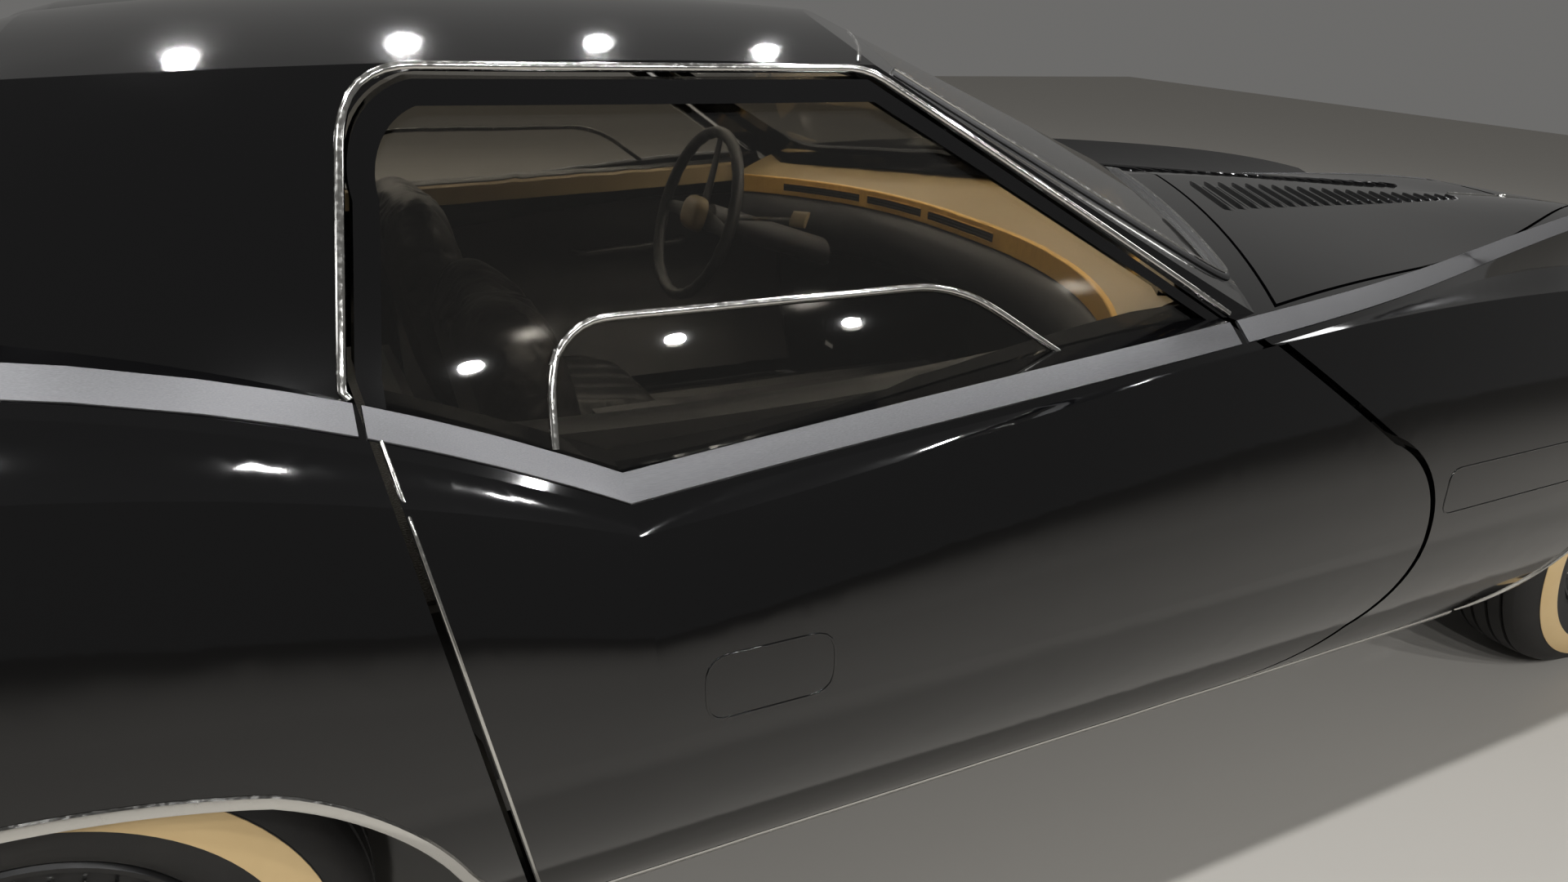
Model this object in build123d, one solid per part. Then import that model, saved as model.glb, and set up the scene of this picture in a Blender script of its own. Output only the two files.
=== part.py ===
from build123d import *
from collections import namedtuple
import math
import os

# Two-door hardtop show car, millimetres.
# +X forward, +Y left, +Z up; the origin is on the floor under the middle of the car.
# Every "forward" distance below is measured from the rear axle.

# Overall
WHEELBASE = 2946.0
DRAWN_WHEELBASE = 2946.0
REAR_OVERHANG = 1300.0
FRONT_OVERHANG = 924.0
REAR_AXLE_X = REAR_OVERHANG - (REAR_OVERHANG + WHEELBASE + FRONT_OVERHANG) / 2
FRONT_AXLE_X = REAR_AXLE_X + WHEELBASE
BUMPER_STAND = 30.0

# Walls and gaps
PANEL_WALL = 28.0
DOOR_WALL = 66.0
LID_WALL = 24.0
SHUT_GAP = 8.0
SEAT_CLEARANCE = 0.3
SHAFT_CLEARANCE = 0.3
ROOF_WALL = 42.0
GLASS = 6.0

# Wheels
TYRE_RADIUS = 345.0
TYRE_WIDTH = 225.0
RIM_RADIUS = 192.0
RIM_WIDTH = 150.0
TRACK_HALF = 773.0
KINGPIN_INSET = 95.0
HUB_RADIUS = 62.0
HUB_BORE = 32.0

# Belt moulding, a flat band along the shoulder
BELT_RUN = 30.0
BELT_DROP = 25.0

# Doors
DOOR_HINGE_FORWARD = 1890.0
DOOR_HINGE_W = 979.0
DOOR_HINGE_Z = (545.0, 655.0)
DOOR_FRONT_GAP = 12.0
HINGE_PIN = 4.0
DOOR_REAR_FORWARD = 385.0
SILL_TOP_Z = 300.0
DOOR_SILL_Z = SILL_TOP_Z + SHUT_GAP / 2

# Lids
COWL_END_FORWARD = 2300.0
HOOD_FRONT_FORWARD = 3600.0
DECK_FRONT_FORWARD = -360.0
DECK_REAR_FORWARD = -1120.0


def x_of(forward):
    """Along the car: the tail keeps its place from the rear axle, the nose from the front
    axle, and the doors between them take up a change of wheelbase."""
    door_length_end = 2000.0
    if forward <= DOOR_REAR_FORWARD:
        return REAR_AXLE_X + forward
    if forward >= door_length_end:
        return FRONT_AXLE_X + forward - DRAWN_WHEELBASE
    share = (forward - DOOR_REAR_FORWARD) / (door_length_end - DOOR_REAR_FORWARD)
    start = REAR_AXLE_X + DOOR_REAR_FORWARD
    return start + share * (FRONT_AXLE_X + door_length_end - DRAWN_WHEELBASE - start)


# Half sections of the lower body, from the tail to the nose. Widths are from the centre plane.
Station = namedtuple(
    "Station",
    "forward rocker_w rocker_z side_w side_z crest_w crest_z foot_w foot_z belt_w belt_z top_z",
)
REAR_STATIONS = [
    Station(-1300, 740, 340, 905, 600, 800, 850, 747, 858, 700, 890, 905),
    Station(-750, 800, 275, 975, 610, 905, 935, 812, 965, 765, 1000, 1005),
    Station(-100, 815, 245, 1000, 620, 940, 985, 862, 1040, 815, 1075, 1060),
    Station(310, 820, 245, 1000, 610, 935, 930, 879, 969, 832, 1004, 1030),
    Station(645, 820, 245, 1000, 600, 938, 830, 918, 847, 880, 880, 905),
]
FRONT_STATIONS = [
    Station(645, 820, 245, 1000, 600, 938, 830, 918, 847, 880, 880, 905),
    Station(1100, 820, 245, 1000, 600, 938, 885, 916, 890, 878, 923, 950),
    Station(1600, 822, 245, 1000, 600, 935, 945, 893, 924, 855, 957, 1000),
    Station(2300, 825, 245, 995, 610, 935, 965, 696, 896, 657, 933, 1000),
    Station(3000, 815, 260, 985, 610, 940, 928, 460, 828, 421, 910, 942),
    Station(3870, 700, 330, 880, 600, 850, 815, 150, 700, 95, 850, 868),
]
LOW_BULGE = 46.0
HIGH_BULGE = 18.0
SHELF_SAG_SHARE = 0.05
CROWN_SHARE = 0.015


def bulged(start, end, bulge):
    """Arc from start to end whose middle stands off the chord to its right by bulge."""
    dw, dz = end[0] - start[0], end[1] - start[1]
    chord = math.hypot(dw, dz)
    middle = (
        (start[0] + end[0]) / 2 + dz / chord * bulge,
        (start[1] + end[1]) / 2 - dw / chord * bulge,
    )
    return start, middle, end


def at_station(x, points):
    return [Vector(x, w, z) for w, z in points]


def half_section(station, inset):
    """Closed wire of one half section, moved inwards by inset; an inset one is open below."""
    drop = 1.0 if inset else 0.0
    x = x_of(station.forward)
    floor_z = station.rocker_z - drop
    rocker = (station.rocker_w - inset, floor_z)
    side = (station.side_w - inset, station.side_z)
    crest = (station.crest_w - 0.6 * inset, station.crest_z - inset)
    foot = (station.foot_w - inset, station.foot_z - inset)
    belt_out = (
        station.belt_w + BELT_RUN - inset,
        station.belt_z - BELT_DROP - 0.6 * inset,
    )
    belt_in = (station.belt_w - 0.8 * inset, station.belt_z - inset)
    top = (0.0, station.top_z - inset)
    shelf = math.hypot(crest[0] - foot[0], crest[1] - foot[1])
    crown = math.hypot(belt_in[0], top[1] - belt_in[1])
    centre_low = (0.0, floor_z)
    edges = [
        Edge.make_line(*at_station(x, (centre_low, rocker))),
        Edge.make_three_point_arc(*at_station(x, bulged(rocker, side, LOW_BULGE))),
        Edge.make_three_point_arc(*at_station(x, bulged(side, crest, HIGH_BULGE))),
        Edge.make_three_point_arc(
            *at_station(x, bulged(crest, foot, -SHELF_SAG_SHARE * shelf))
        ),
        Edge.make_line(*at_station(x, (foot, belt_out))),
        Edge.make_line(*at_station(x, (belt_out, belt_in))),
        Edge.make_three_point_arc(
            *at_station(x, bulged(belt_in, top, CROWN_SHARE * crown))
        ),
        Edge.make_line(*at_station(x, (top, centre_low))),
    ]
    return Wire(edges)


def lofted(stations, inset):
    return Solid.make_loft([half_section(s, inset) for s in stations])


def plan_prism(outline, z_low, z_high):
    """Outline of (forward, w) points or three-point arcs, drawn in plan and raised in Z."""
    edges = []
    for piece in outline:
        points = [Vector(x_of(f), w, z_low) for f, w in piece]
        if len(points) == 3:
            edges.append(Edge.make_three_point_arc(*points))
        else:
            edges.append(Edge.make_line(*points))
    face = Face(Wire(edges))
    return Solid.extrude(face, Vector(0, 0, z_high - z_low))


def side_prism(outline, w_low, w_high):
    """Outline of (forward, z) points or three-point arcs, drawn in side view and widened in Y."""
    edges = []
    for piece in outline:
        points = [Vector(x_of(f), w_low, z) for f, z in piece]
        if len(points) == 3:
            edges.append(Edge.make_three_point_arc(*points))
        else:
            edges.append(Edge.make_line(*points))
    face = Face(Wire(edges))
    return Solid.extrude(face, Vector(0, w_high - w_low, 0))


def polygon(points):
    """Straight pieces round a closed list of points."""
    return [(points[i], points[(i + 1) % len(points)]) for i in range(len(points))]


def block(forward_low, forward_high, w_low, w_high, z_low, z_high):
    x_low, x_high = x_of(forward_low), x_of(forward_high)
    box = Box(x_high - x_low, w_high - w_low, z_high - z_low)
    return box.moved(
        Location(((x_low + x_high) / 2, (w_low + w_high) / 2, (z_low + z_high) / 2))
    )


def mirrored(shape):
    return shape.mirror(Plane.XZ)


def one(shape):
    """The largest solid of a cut, without slivers."""
    return max(shape.solids(), key=lambda s: s.volume)


def cut(shape, *tools):
    return one(shape.cut(*tools))


def common(shape, *tools):
    for tool in tools:
        shape = one(shape.intersect(tool))
    return shape


def fused(shape, *others):
    return one(shape.fuse(*others))


def both_halves(shape):
    return fused(shape, mirrored(shape))


# Plan of the car's ends: a pointed prow between rounded fender fronts, and a bowed tail
BODY_FRONT = WHEELBASE + FRONT_OVERHANG - BUMPER_STAND
BODY_REAR = -REAR_OVERHANG + BUMPER_STAND
FENDER_TURN = 3480.0
PROW_FORWARD = 3785.0


def ends_prism(inset):
    front = BODY_FRONT - inset
    rear = BODY_REAR + inset
    outline = [
        ((rear, 0.0), (rear + 20, 460.0), (rear + 90, 800.0)),
        ((rear + 90, 800.0), (rear + 180, 930.0), (rear + 420, 1100.0)),
        ((rear + 420, 1100.0), (FENDER_TURN, 1100.0)),
        ((FENDER_TURN, 1100.0), (front - 60, 930.0), (front, 740.0)),
        ((front, 740.0), (front - 20, 600.0), (front - 90, 500.0)),
        ((front - 90, 500.0), (front - 120, 180.0)),
        ((front - 120, 180.0), (PROW_FORWARD - inset, 0.0)),
        ((PROW_FORWARD - inset, 0.0), (rear, 0.0)),
    ]
    return plan_prism(outline, 0.0, 1400.0)


def body_half(inset):
    whole = fused(lofted(REAR_STATIONS, inset), lofted(FRONT_STATIONS, inset))
    return common(whole, ends_prism(inset))


outer = body_half(0.0)
skin = cut(outer, body_half(PANEL_WALL))
thick_skin = cut(outer, body_half(DOOR_WALL))
lid_skin = cut(outer, body_half(LID_WALL))
under_lids = body_half(PANEL_WALL + SHUT_GAP)

# Wheel arches, as (forward of the axle, z): a long top arc, round corners, flared feet
ARCH_TOP_Z = 686.0
ARCH_CORNER = ((255.0, 648.0), (352.0, 580.0), (422.0, 470.0))
ARCH_FOOT = (560.0, 200.0)


def arch_prism(axle_forward, grow=0.0):
    def at(point, side):
        return (axle_forward + side * (point[0] + grow), point[1] + grow)

    high, middle, low = ARCH_CORNER
    outline = [
        (at(high, 1), (axle_forward, ARCH_TOP_Z + grow), at(high, -1)),
        (at(high, -1), at(middle, -1), at(low, -1)),
        (at(low, -1), at(ARCH_FOOT, -1)),
        (at(ARCH_FOOT, -1), at(ARCH_FOOT, 1)),
        (at(ARCH_FOOT, 1), at(low, 1)),
        (at(low, 1), at(middle, 1), at(high, 1)),
    ]
    return side_prism(outline, 560.0, 1100.0)


# Door shut line in side view, as (forward, z): straight slanted rear edge, bowed front edge
def door_outline(grow):
    ahead = grow * DOOR_FRONT_GAP / SHUT_GAP
    rear_top = (DOOR_REAR_FORWARD + 2 - grow, 1300.0)
    rear_belt = (DOOR_REAR_FORWARD - grow, 1000.0)
    rear_foot = (525.0 - grow, DOOR_SILL_Z - grow)
    front_foot = (1700.0, DOOR_SILL_Z - grow)
    front_low = (1880.0 + 0.7 * ahead, 425.0 - 0.7 * ahead)
    front_far = (1970.0 + ahead, 590.0)
    front_high = (1840.0 + 0.6 * ahead, 780.0 + 0.8 * ahead)
    front_top = (1575.0 + 0.6 * ahead, 960.0 + 0.8 * ahead)
    return [
        (rear_top, rear_belt),
        (rear_belt, rear_foot),
        (rear_foot, front_foot),
        (front_foot, (1800.0 + 0.5 * ahead, 345.0 - 0.8 * ahead), front_low),
        (front_low, front_far, front_high),
        (front_high, front_top),
        (front_top, (front_top[0], 1300.0)),
        ((front_top[0], 1300.0), rear_top),
    ]


DOOR_INNER_W = 780.0
door_space = side_prism(door_outline(SHUT_GAP / 2), DOOR_INNER_W - SHUT_GAP, 1100.0)
door_prism = side_prism(door_outline(-SHUT_GAP / 2), DOOR_INNER_W, 1100.0)

# Plan of the belt moulding's inner edge: the lids and the glass lie inside it
BELT_FRONT_ARC = ((1600.0, 855.0), (2300.0, 657.0), (3260.0, 329.0))
BELT_DOOR = ((-100.0, 815.0), (310.0, 832.0), (645.0, 880.0), (1100.0, 878.0), (1600.0, 855.0))


def inside_belt(inset, forward_low, forward_high):
    """Space inside the belt moulding over the hood, between two cross planes."""
    start, middle, end = [(f, w - inset) for f, w in BELT_FRONT_ARC]
    tip = (3760.0, 140.0 - inset)
    outline = [
        (start, middle, end),
        (end, tip),
        (tip, (tip[0], 0.0)),
        ((tip[0], 0.0), (start[0], 0.0)),
        ((start[0], 0.0), start),
    ]
    prism = plan_prism(outline, 600.0, 1400.0)
    return common(prism, block(forward_low, forward_high, 0.0, 1100.0, 600.0, 1400.0))


# Cabin opening in the top of the lower body, leaving a ledge that carries glass and roof
LEDGE = 58.0
BACKLIGHT_FOOT_FORWARD = -240.0
WINDSHIELD_BASE = ((1650.0, 770.0), (1985.0, 340.0), (2190.0, 0.0))
COWL_LEDGE = 110.0


def cabin_prism():
    rear = (BACKLIGHT_FOOT_FORWARD + COWL_LEDGE, 0.0)
    sides = [(f, w - LEDGE) for f, w in BELT_DOOR[:-1]]
    sides[0] = (rear[0], sides[0][1])
    corner = (WINDSHIELD_BASE[0][0] - COWL_LEDGE, 770.0)
    centre = (WINDSHIELD_BASE[2][0] - COWL_LEDGE, 0.0)
    points = [rear] + sides + [corner, centre]
    return plan_prism(polygon(points), 780.0, 1400.0)


cabin_space = cabin_prism()

# Hood, cowl, fenders, quarters, tail and lids, all cut from the same skin
# The hood's rear edge follows the foot of the windshield
HOOD_REAR_ARC = ((1695.0, 840.0), (2030.0, 368.0), (2245.0, -2.0))


def ahead_of_hood_edge(shift):
    """Space forward of the hood's rear edge, moved forward by shift."""
    side, middle, centre = [(f + shift, w) for f, w in HOOD_REAR_ARC]
    outline = [
        (side, middle, centre),
        (centre, (4000.0, centre[1])),
        ((4000.0, centre[1]), (4000.0, 1200.0)),
        ((4000.0, 1200.0), (side[0] - 230.0, 1200.0)),
        ((side[0] - 230.0, 1200.0), side),
    ]
    return plan_prism(outline, 590.0, 1410.0)


hood_space = common(inside_belt(0.0, 1500.0, HOOD_FRONT_FORWARD + SHUT_GAP / 2), ahead_of_hood_edge(-SHUT_GAP / 2))
hood_plan = common(inside_belt(SHUT_GAP, 1500.0, HOOD_FRONT_FORWARD - SHUT_GAP / 2), ahead_of_hood_edge(SHUT_GAP / 2))
DECK_HALF = 545.0
deck_space = block(DECK_REAR_FORWARD, DECK_FRONT_FORWARD, -1.0, DECK_HALF, 840.0, 1400.0)
deck_plan = block(
    DECK_REAR_FORWARD + SHUT_GAP,
    DECK_FRONT_FORWARD - SHUT_GAP,
    -1.0,
    DECK_HALF - SHUT_GAP,
    840.0,
    1400.0,
)

NOSE_SPLIT_W = 560.0
NOSE_SPLIT_FORWARD = 3560.0
TAIL_SPLIT_FORWARD = -1150.0

fender_zone = block(1300.0, 4000.0, 0.0, 1200.0, 0.0, 1400.0)
quarter_zone = block(-1400.0, 1300.0, 0.0, 1200.0, 0.0, 1400.0)
tail_zone = block(-1400.0, TAIL_SPLIT_FORWARD, -1.0, 620.0, 0.0, 1400.0)
nose_zone = block(NOSE_SPLIT_FORWARD, 4000.0, -1.0, NOSE_SPLIT_W, 0.0, 1400.0)
cowl_zone = cut(inside_belt(0.0, 1500.0, COWL_END_FORWARD), ahead_of_hood_edge(-SHUT_GAP / 2))
SILL_INNER_W = 700.0
sill_zone = block(470.0, 2440.0, SILL_INNER_W, 1100.0, 200.0, SILL_TOP_Z)

# Lid hinges: a rolled edge turns in a hollow of the fixed panel, on a pin at each end
KNUCKLE = 11.0
KNUCKLE_HOLLOW = 17.0
# forward, z, w where the rolled edge starts and ends, w where the panel's hollow ends
HOOD_HINGE = (HOOD_FRONT_FORWARD, 893.0, 120.0, 190.0, 262.0)
DECK_HINGE = (DECK_FRONT_FORWARD - SHUT_GAP, 1060.0, 400.0, 470.0, DECK_HALF)
EAR = 24.0
PIN_DEPTH = 18.0


def cross_rod(forward, z, radius, w_low, w_high):
    plane = Plane(origin=(x_of(forward), w_low, z), z_dir=(0, 1, 0))
    return Solid.make_cylinder(radius, w_high - w_low, plane)


def hinged_lid(lid, hinge):
    forward, z, start, half, _ = hinge
    roll = common(cross_rod(forward, z, KNUCKLE, start, half), outer)
    ear_room = cross_rod(forward, z, KNUCKLE_HOLLOW, half, half + EAR + SHUT_GAP)
    bore = cross_rod(forward, z, HINGE_PIN + SHAFT_CLEARANCE, half - PIN_DEPTH - 1, half + 1)
    return cut(fused(lid, roll), ear_room, bore)


def lid_frame(panel, hinge):
    """The fixed panel's side of a lid hinge; it stays one solid."""
    forward, z, _, half, lid_half = hinge
    hollow_part = cross_rod(forward, z, KNUCKLE_HOLLOW, -2.0, lid_half)
    start = half + SEAT_CLEARANCE
    ear = cross_rod(forward, z, KNUCKLE, start, half + EAR)
    foot = block(forward, forward + 40.0, start, half + EAR, z - KNUCKLE, z + KNUCKLE)
    pin = cross_rod(forward, z, HINGE_PIN, half - PIN_DEPTH, half + EAR)
    return fused(cut(panel, hollow_part), common(fused(ear, foot), outer), pin)


# Lamps, grille and bumper bracket openings in the end walls, with the plate's two holes
FRONT_RAIL_END = 3640.0
REAR_RAIL_END = -1130.0
BRACKET_W = (345.0, 405.0)
BRACKET_Z = (392.0, 412.0)
REAR_BRACKET_W = (440.0, 490.0)
REAR_BRACKET_Z = (490.0, 525.0)
PLATE_HOLE_SPACING = 177.8
PLATE_HOLE_RADIUS = 3.5
PLATE_Z = 600.0
LAMP_W = (600.0, 830.0)
LAMP_Z = (590.0, 700.0)
GRILLE_W = (60.0, 500.0)
GRILLE_Z = (420.0, 660.0)
TAIL_LAMP_W = (250.0, 760.0)
TAIL_LAMP_Z = (660.0, 740.0)
lamp_space = block(3500.0, 4000.0, *LAMP_W, *LAMP_Z)
grille_space = block(3500.0, 4000.0, *GRILLE_W, *GRILLE_Z)
tail_lamp_space = block(-1400.0, -1200.0, *TAIL_LAMP_W, *TAIL_LAMP_Z)

front_arch = arch_prism(WHEELBASE)
rear_arch = arch_prism(0.0)

fender = common(skin, fender_zone)
fender = cut(fender, door_space, hood_space, cowl_zone, cabin_space, nose_zone, sill_zone)
fender = cut(fender, front_arch, lamp_space, block(1290.0, 1600.0, 0.0, DOOR_INNER_W, 700.0, 1400.0))
cowl = cut(common(skin, cowl_zone), cabin_space, door_space)
bracket_space = block(3500.0, 4000.0, *BRACKET_W, *BRACKET_Z)
rear_bracket_space = block(-1400.0, -1100.0, *REAR_BRACKET_W, *REAR_BRACKET_Z)
plate_hole = Solid.make_cylinder(
    PLATE_HOLE_RADIUS,
    200.0,
    Plane(origin=(x_of(-1400.0), PLATE_HOLE_SPACING / 2, PLATE_Z), z_dir=(1, 0, 0)),
)
nose = lid_frame(cut(common(skin, nose_zone), hood_space, grille_space, bracket_space), HOOD_HINGE)
quarter = common(skin, quarter_zone)
quarter = cut(quarter, door_space, cabin_space, tail_zone, deck_space, sill_zone)
quarter = lid_frame(cut(quarter, rear_arch, tail_lamp_space, block(390.0, 1310.0, 0.0, DOOR_INNER_W, 700.0, 1400.0)), DECK_HINGE)
tail = cut(common(skin, tail_zone), deck_space, tail_lamp_space, rear_bracket_space, plate_hole)
hood_half = hinged_lid(common(lid_skin, hood_plan), HOOD_HINGE)
deck_half = hinged_lid(common(lid_skin, deck_plan), DECK_HINGE)

# Sill with the hinge post standing on it; two straps reach out to the door's pin
POST = (1850.0, 1950.0)
POST_W = (785.0, 830.0)
POST_TOP_Z = 830.0
STRAP_THICK = 14.0
STRAP_RING = 8.0
STRAP_ROOM = 4.0
sill = cut(common(outer, sill_zone), front_arch, rear_arch)
post = block(*POST, *POST_W, 290.0, POST_TOP_Z)
sill = fused(sill, post)
hinge_x = x_of(DOOR_HINGE_FORWARD)


def upright_rod(radius, z_low, z_high):
    return Solid.make_cylinder(radius, z_high - z_low, Plane(origin=(hinge_x, DOOR_HINGE_W, z_low)))


for z in DOOR_HINGE_Z:
    strap = block(
        DOOR_HINGE_FORWARD - STRAP_RING, DOOR_HINGE_FORWARD + STRAP_RING, POST_W[1] - 1, DOOR_HINGE_W, z, z + STRAP_THICK
    )
    ring = upright_rod(STRAP_RING, z, z + STRAP_THICK)
    bore = upright_rod(HINGE_PIN + SHAFT_CLEARANCE, z - 1, z + STRAP_THICK + 1)
    sill = fused(sill, cut(fused(strap, ring), bore))

# Greenhouse: half sections of side arc and roof arc
RoofStation = namedtuple("RoofStation", "forward base_w base_z gutter_w gutter_z centre_z")
ROOF_STATIONS = [
    RoofStation(100, 905, 820, 620, 1268, 1302),
    RoofStation(400, 905, 820, 632, 1285, 1338),
    RoofStation(700, 905, 820, 636, 1293, 1350),
    RoofStation(1060, 905, 820, 634, 1290, 1346),
    RoofStation(1700, 905, 820, 626, 1268, 1300),
    RoofStation(2260, 905, 820, 626, 1268, 1300),
]
SAIL_STATIONS = [
    RoofStation(-760, 800, 820, 740, 1012, 1040),
    RoofStation(100, 905, 820, 620, 1268, 1302),
]
SIDE_BULGE = 22.0
ROOF_CROWN_SHARE = 0.035


def roof_section(station, inset):
    x = x_of(station.forward)
    base = (station.base_w - inset, station.base_z - (inset and 1.0))
    gutter = (station.gutter_w - 0.9 * inset, station.gutter_z - 0.8 * inset)
    centre = (0.0, station.centre_z - inset)
    chord = math.hypot(gutter[0], centre[1] - gutter[1])
    low = (0.0, base[1])
    return Wire(
        [
            Edge.make_line(*at_station(x, (low, base))),
            Edge.make_three_point_arc(*at_station(x, bulged(base, gutter, SIDE_BULGE))),
            Edge.make_three_point_arc(
                *at_station(x, bulged(gutter, centre, ROOF_CROWN_SHARE * chord))
            ),
            Edge.make_line(*at_station(x, (centre, low))),
        ]
    )


def greenhouse(inset):
    front = Solid.make_loft([roof_section(s, inset) for s in ROOF_STATIONS])
    rear = Solid.make_loft([roof_section(s, inset) for s in SAIL_STATIONS], ruled=True)
    return front, rear


# Windshield face: a ruled surface from a bowed base line to a shorter header line
HEADER = ((1060.0, 630.0), (1243.0, 305.0), (1400.0, 0.0))
BASE_Z = 985.0
HEADER_Z = 1300.0


def windshield_solid(back):
    """Everything behind the windshield face, moved rearwards by back."""

    def level(z):
        share = (z - BASE_Z) / (HEADER_Z - BASE_Z)
        points = []
        for base, header in zip(WINDSHIELD_BASE, HEADER):
            forward = base[0] + share * (header[0] - base[0]) - back
            w = base[1] + share * (header[1] - base[1])
            points.append(Vector(x_of(forward), w, z))
        corner, middle, centre = points
        # The face runs on past the pillars in the direction of its outer half
        reach = Vector(corner.X - 0.95 * (1100.0 - corner.Y), 1100.0, z)
        rear = x_of(-300.0)
        return Wire(
            [
                Edge.make_line(Vector(rear, 0.0, z), Vector(rear, 1100.0, z)),
                Edge.make_line(Vector(rear, 1100.0, z), reach),
                Edge.make_line(reach, corner),
                Edge.make_three_point_arc(corner, middle, centre),
                Edge.make_line(centre, Vector(rear, 0.0, z)),
            ]
        )

    return Solid.make_loft([level(780.0), level(1420.0)], ruled=True)


roof_front, roof_rear = greenhouse(0.0)
inner_front, inner_rear = greenhouse(ROOF_WALL)
behind_glass = windshield_solid(0.0)
behind_pillar = windshield_solid(ROOF_WALL)
behind_pane = windshield_solid(GLASS)

house = common(roof_front, behind_glass)
hollow = common(inner_front, behind_pillar)

# Backlight plane between the sail panels
BACKLIGHT_TOP = (20.0, 1262.0)
BACKLIGHT_FOOT = (-240.0, 1020.0)
SAIL_INNER_W = 560.0
BACKLIGHT_EDGE = 24.0


def behind_backlight(shift):
    top = (BACKLIGHT_TOP[0] + shift, BACKLIGHT_TOP[1])
    foot = (BACKLIGHT_FOOT[0] + shift, BACKLIGHT_FOOT[1])
    rise = (top[0] + 0.9 * (1420.0 - top[1]), 1420.0)
    low = (foot[0] - 0.9 * (foot[1] - 900.0), 900.0)
    outline = polygon([rise, top, foot, low, (-1400.0, 900.0), (-1400.0, 1420.0)])
    return side_prism(outline, -1.0, SAIL_INNER_W)


sail_well = behind_backlight(0.0)
sail_wall = block(-1400.0, 200.0, SAIL_INNER_W, 1100.0, 0.0, 1420.0)
cabin_rear = cut(inner_rear, behind_backlight(40.0), sail_wall)
roof = fused(cut(house, hollow), cut(roof_rear, sail_well))
roof = cut(roof, cabin_rear)
roof = cut(roof, outer)

# Window opening in side view, and the frame that the door carries in it
def window_outline(grow):
    rear_low = (383.0 - grow, 1000.0)
    rear_high = (409.0 - grow, 1160.0)
    rear_corner = (436.0 - grow, 1247.0 + grow / 2)
    top_rear = (492.0, 1277.0 + grow)
    top_front = (1062.0, 1277.0 + grow)
    front_low = (1580.0 + grow, 955.0)
    return [
        ((383.0 - grow, 700.0), rear_low),
        (rear_low, rear_high),
        (rear_high, rear_corner, top_rear),
        (top_rear, top_front),
        (top_front, front_low),
        (front_low, (1580.0 + grow, 700.0)),
        ((1580.0 + grow, 700.0), (383.0 - grow, 700.0)),
    ]


WINDOW_BORDER = 30.0
FRAME_DEPTH = 24.0
PANE_DEPTH = 9.0
window_space = side_prism(window_outline(SHUT_GAP / 2), 400.0, 1100.0)
window_plug = side_prism(window_outline(-SHUT_GAP / 2), 400.0, 1100.0)
window_sight = side_prism(window_outline(-WINDOW_BORDER), 400.0, 1100.0)
roof = cut(roof, window_space)

frame_front = greenhouse(FRAME_DEPTH)[0]
pane_out = greenhouse(PANE_DEPTH)[0]
pane_in = greenhouse(PANE_DEPTH + GLASS)[0]
frame_plate = common(cut(roof_front, frame_front), window_plug)
frame_ring = common(cut(frame_plate, window_sight), side_prism(door_outline(-SHUT_GAP / 2), 400.0, 1100.0))
door_glass = cut(common(cut(pane_out, pane_in), window_sight), outer)

# Windshield opening between the pillars, seen from the front
PILLAR_IN = 34.0


def windshield_opening(clear):
    top_w = HEADER[0][1] - PILLAR_IN - clear
    low_w = WINDSHIELD_BASE[0][1] - PILLAR_IN - clear
    x = x_of(900.0)
    points = [
        Vector(x, -1.0, 800.0),
        Vector(x, low_w + 90.0, 800.0),
        Vector(x, top_w, 1268.0 - clear),
        Vector(x, -1.0, 1300.0 - clear),
    ]
    wire = Wire([Edge.make_line(points[i], points[(i + 1) % 4]) for i in range(4)])
    return Solid.extrude(Face(wire), Vector(1600.0, 0, 0))


roof_half = cut(roof, windshield_opening(0.0))
pane = common(cut(behind_glass, behind_pane), roof_front, windshield_opening(SEAT_CLEARANCE))
windshield = both_halves(cut(pane, outer))
BACKLIGHT_W = SAIL_INNER_W - BACKLIGHT_EDGE
BACKLIGHT_Z = (900.0, 1245.0)
roof_half = cut(roof_half, block(-300.0, 100.0, -1.0, BACKLIGHT_W, *BACKLIGHT_Z))
roof_shell = both_halves(roof_half)
back_plate = cut(behind_backlight(GLASS + 2.0), behind_backlight(2.0))
back_pane = common(back_plate, block(-300.0, 200.0, 0.0, BACKLIGHT_W, *BACKLIGHT_Z))
backlight = both_halves(cut(back_pane, outer.moved(Location((0, 0, SEAT_CLEARANCE)))))

# Doors: the thick skin inside the shut line, with the window frame rising from it
door = cut(common(thick_skin, door_prism), cabin_space, sill_zone)
door = fused(door, frame_ring)
for z in DOOR_HINGE_Z:
    low, high = z - SHUT_GAP, z + STRAP_THICK + SHUT_GAP
    room = upright_rod(STRAP_RING + STRAP_ROOM, low, high)
    reach_start = DOOR_HINGE_FORWARD - STRAP_RING - 5.0
    reach = block(reach_start, 2100.0, DOOR_INNER_W, DOOR_HINGE_W, low, high)
    side_reach = block(
        DOOR_HINGE_FORWARD, 2100.0, DOOR_HINGE_W - 1, DOOR_HINGE_W + STRAP_RING, low, high
    )
    door = cut(door, room, reach, side_reach)
    door = fused(door, upright_rod(HINGE_PIN, low - 4, high + 4))


# Wheels
def ring_of(profile, centre):
    """Closed outline of (axial, radius) pieces turned about the wheel's own axle."""
    edges = []
    for piece in profile:
        points = [Vector(0, a, r) for a, r in piece]
        if len(points) == 3:
            edges.append(Edge.make_three_point_arc(*points))
        else:
            edges.append(Edge.make_line(*points))
    solid = Solid.revolve(Face(Wire(edges)), 360, Axis((0, 0, 0), (0, 1, 0)))
    return solid.moved(Location(centre))


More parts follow.
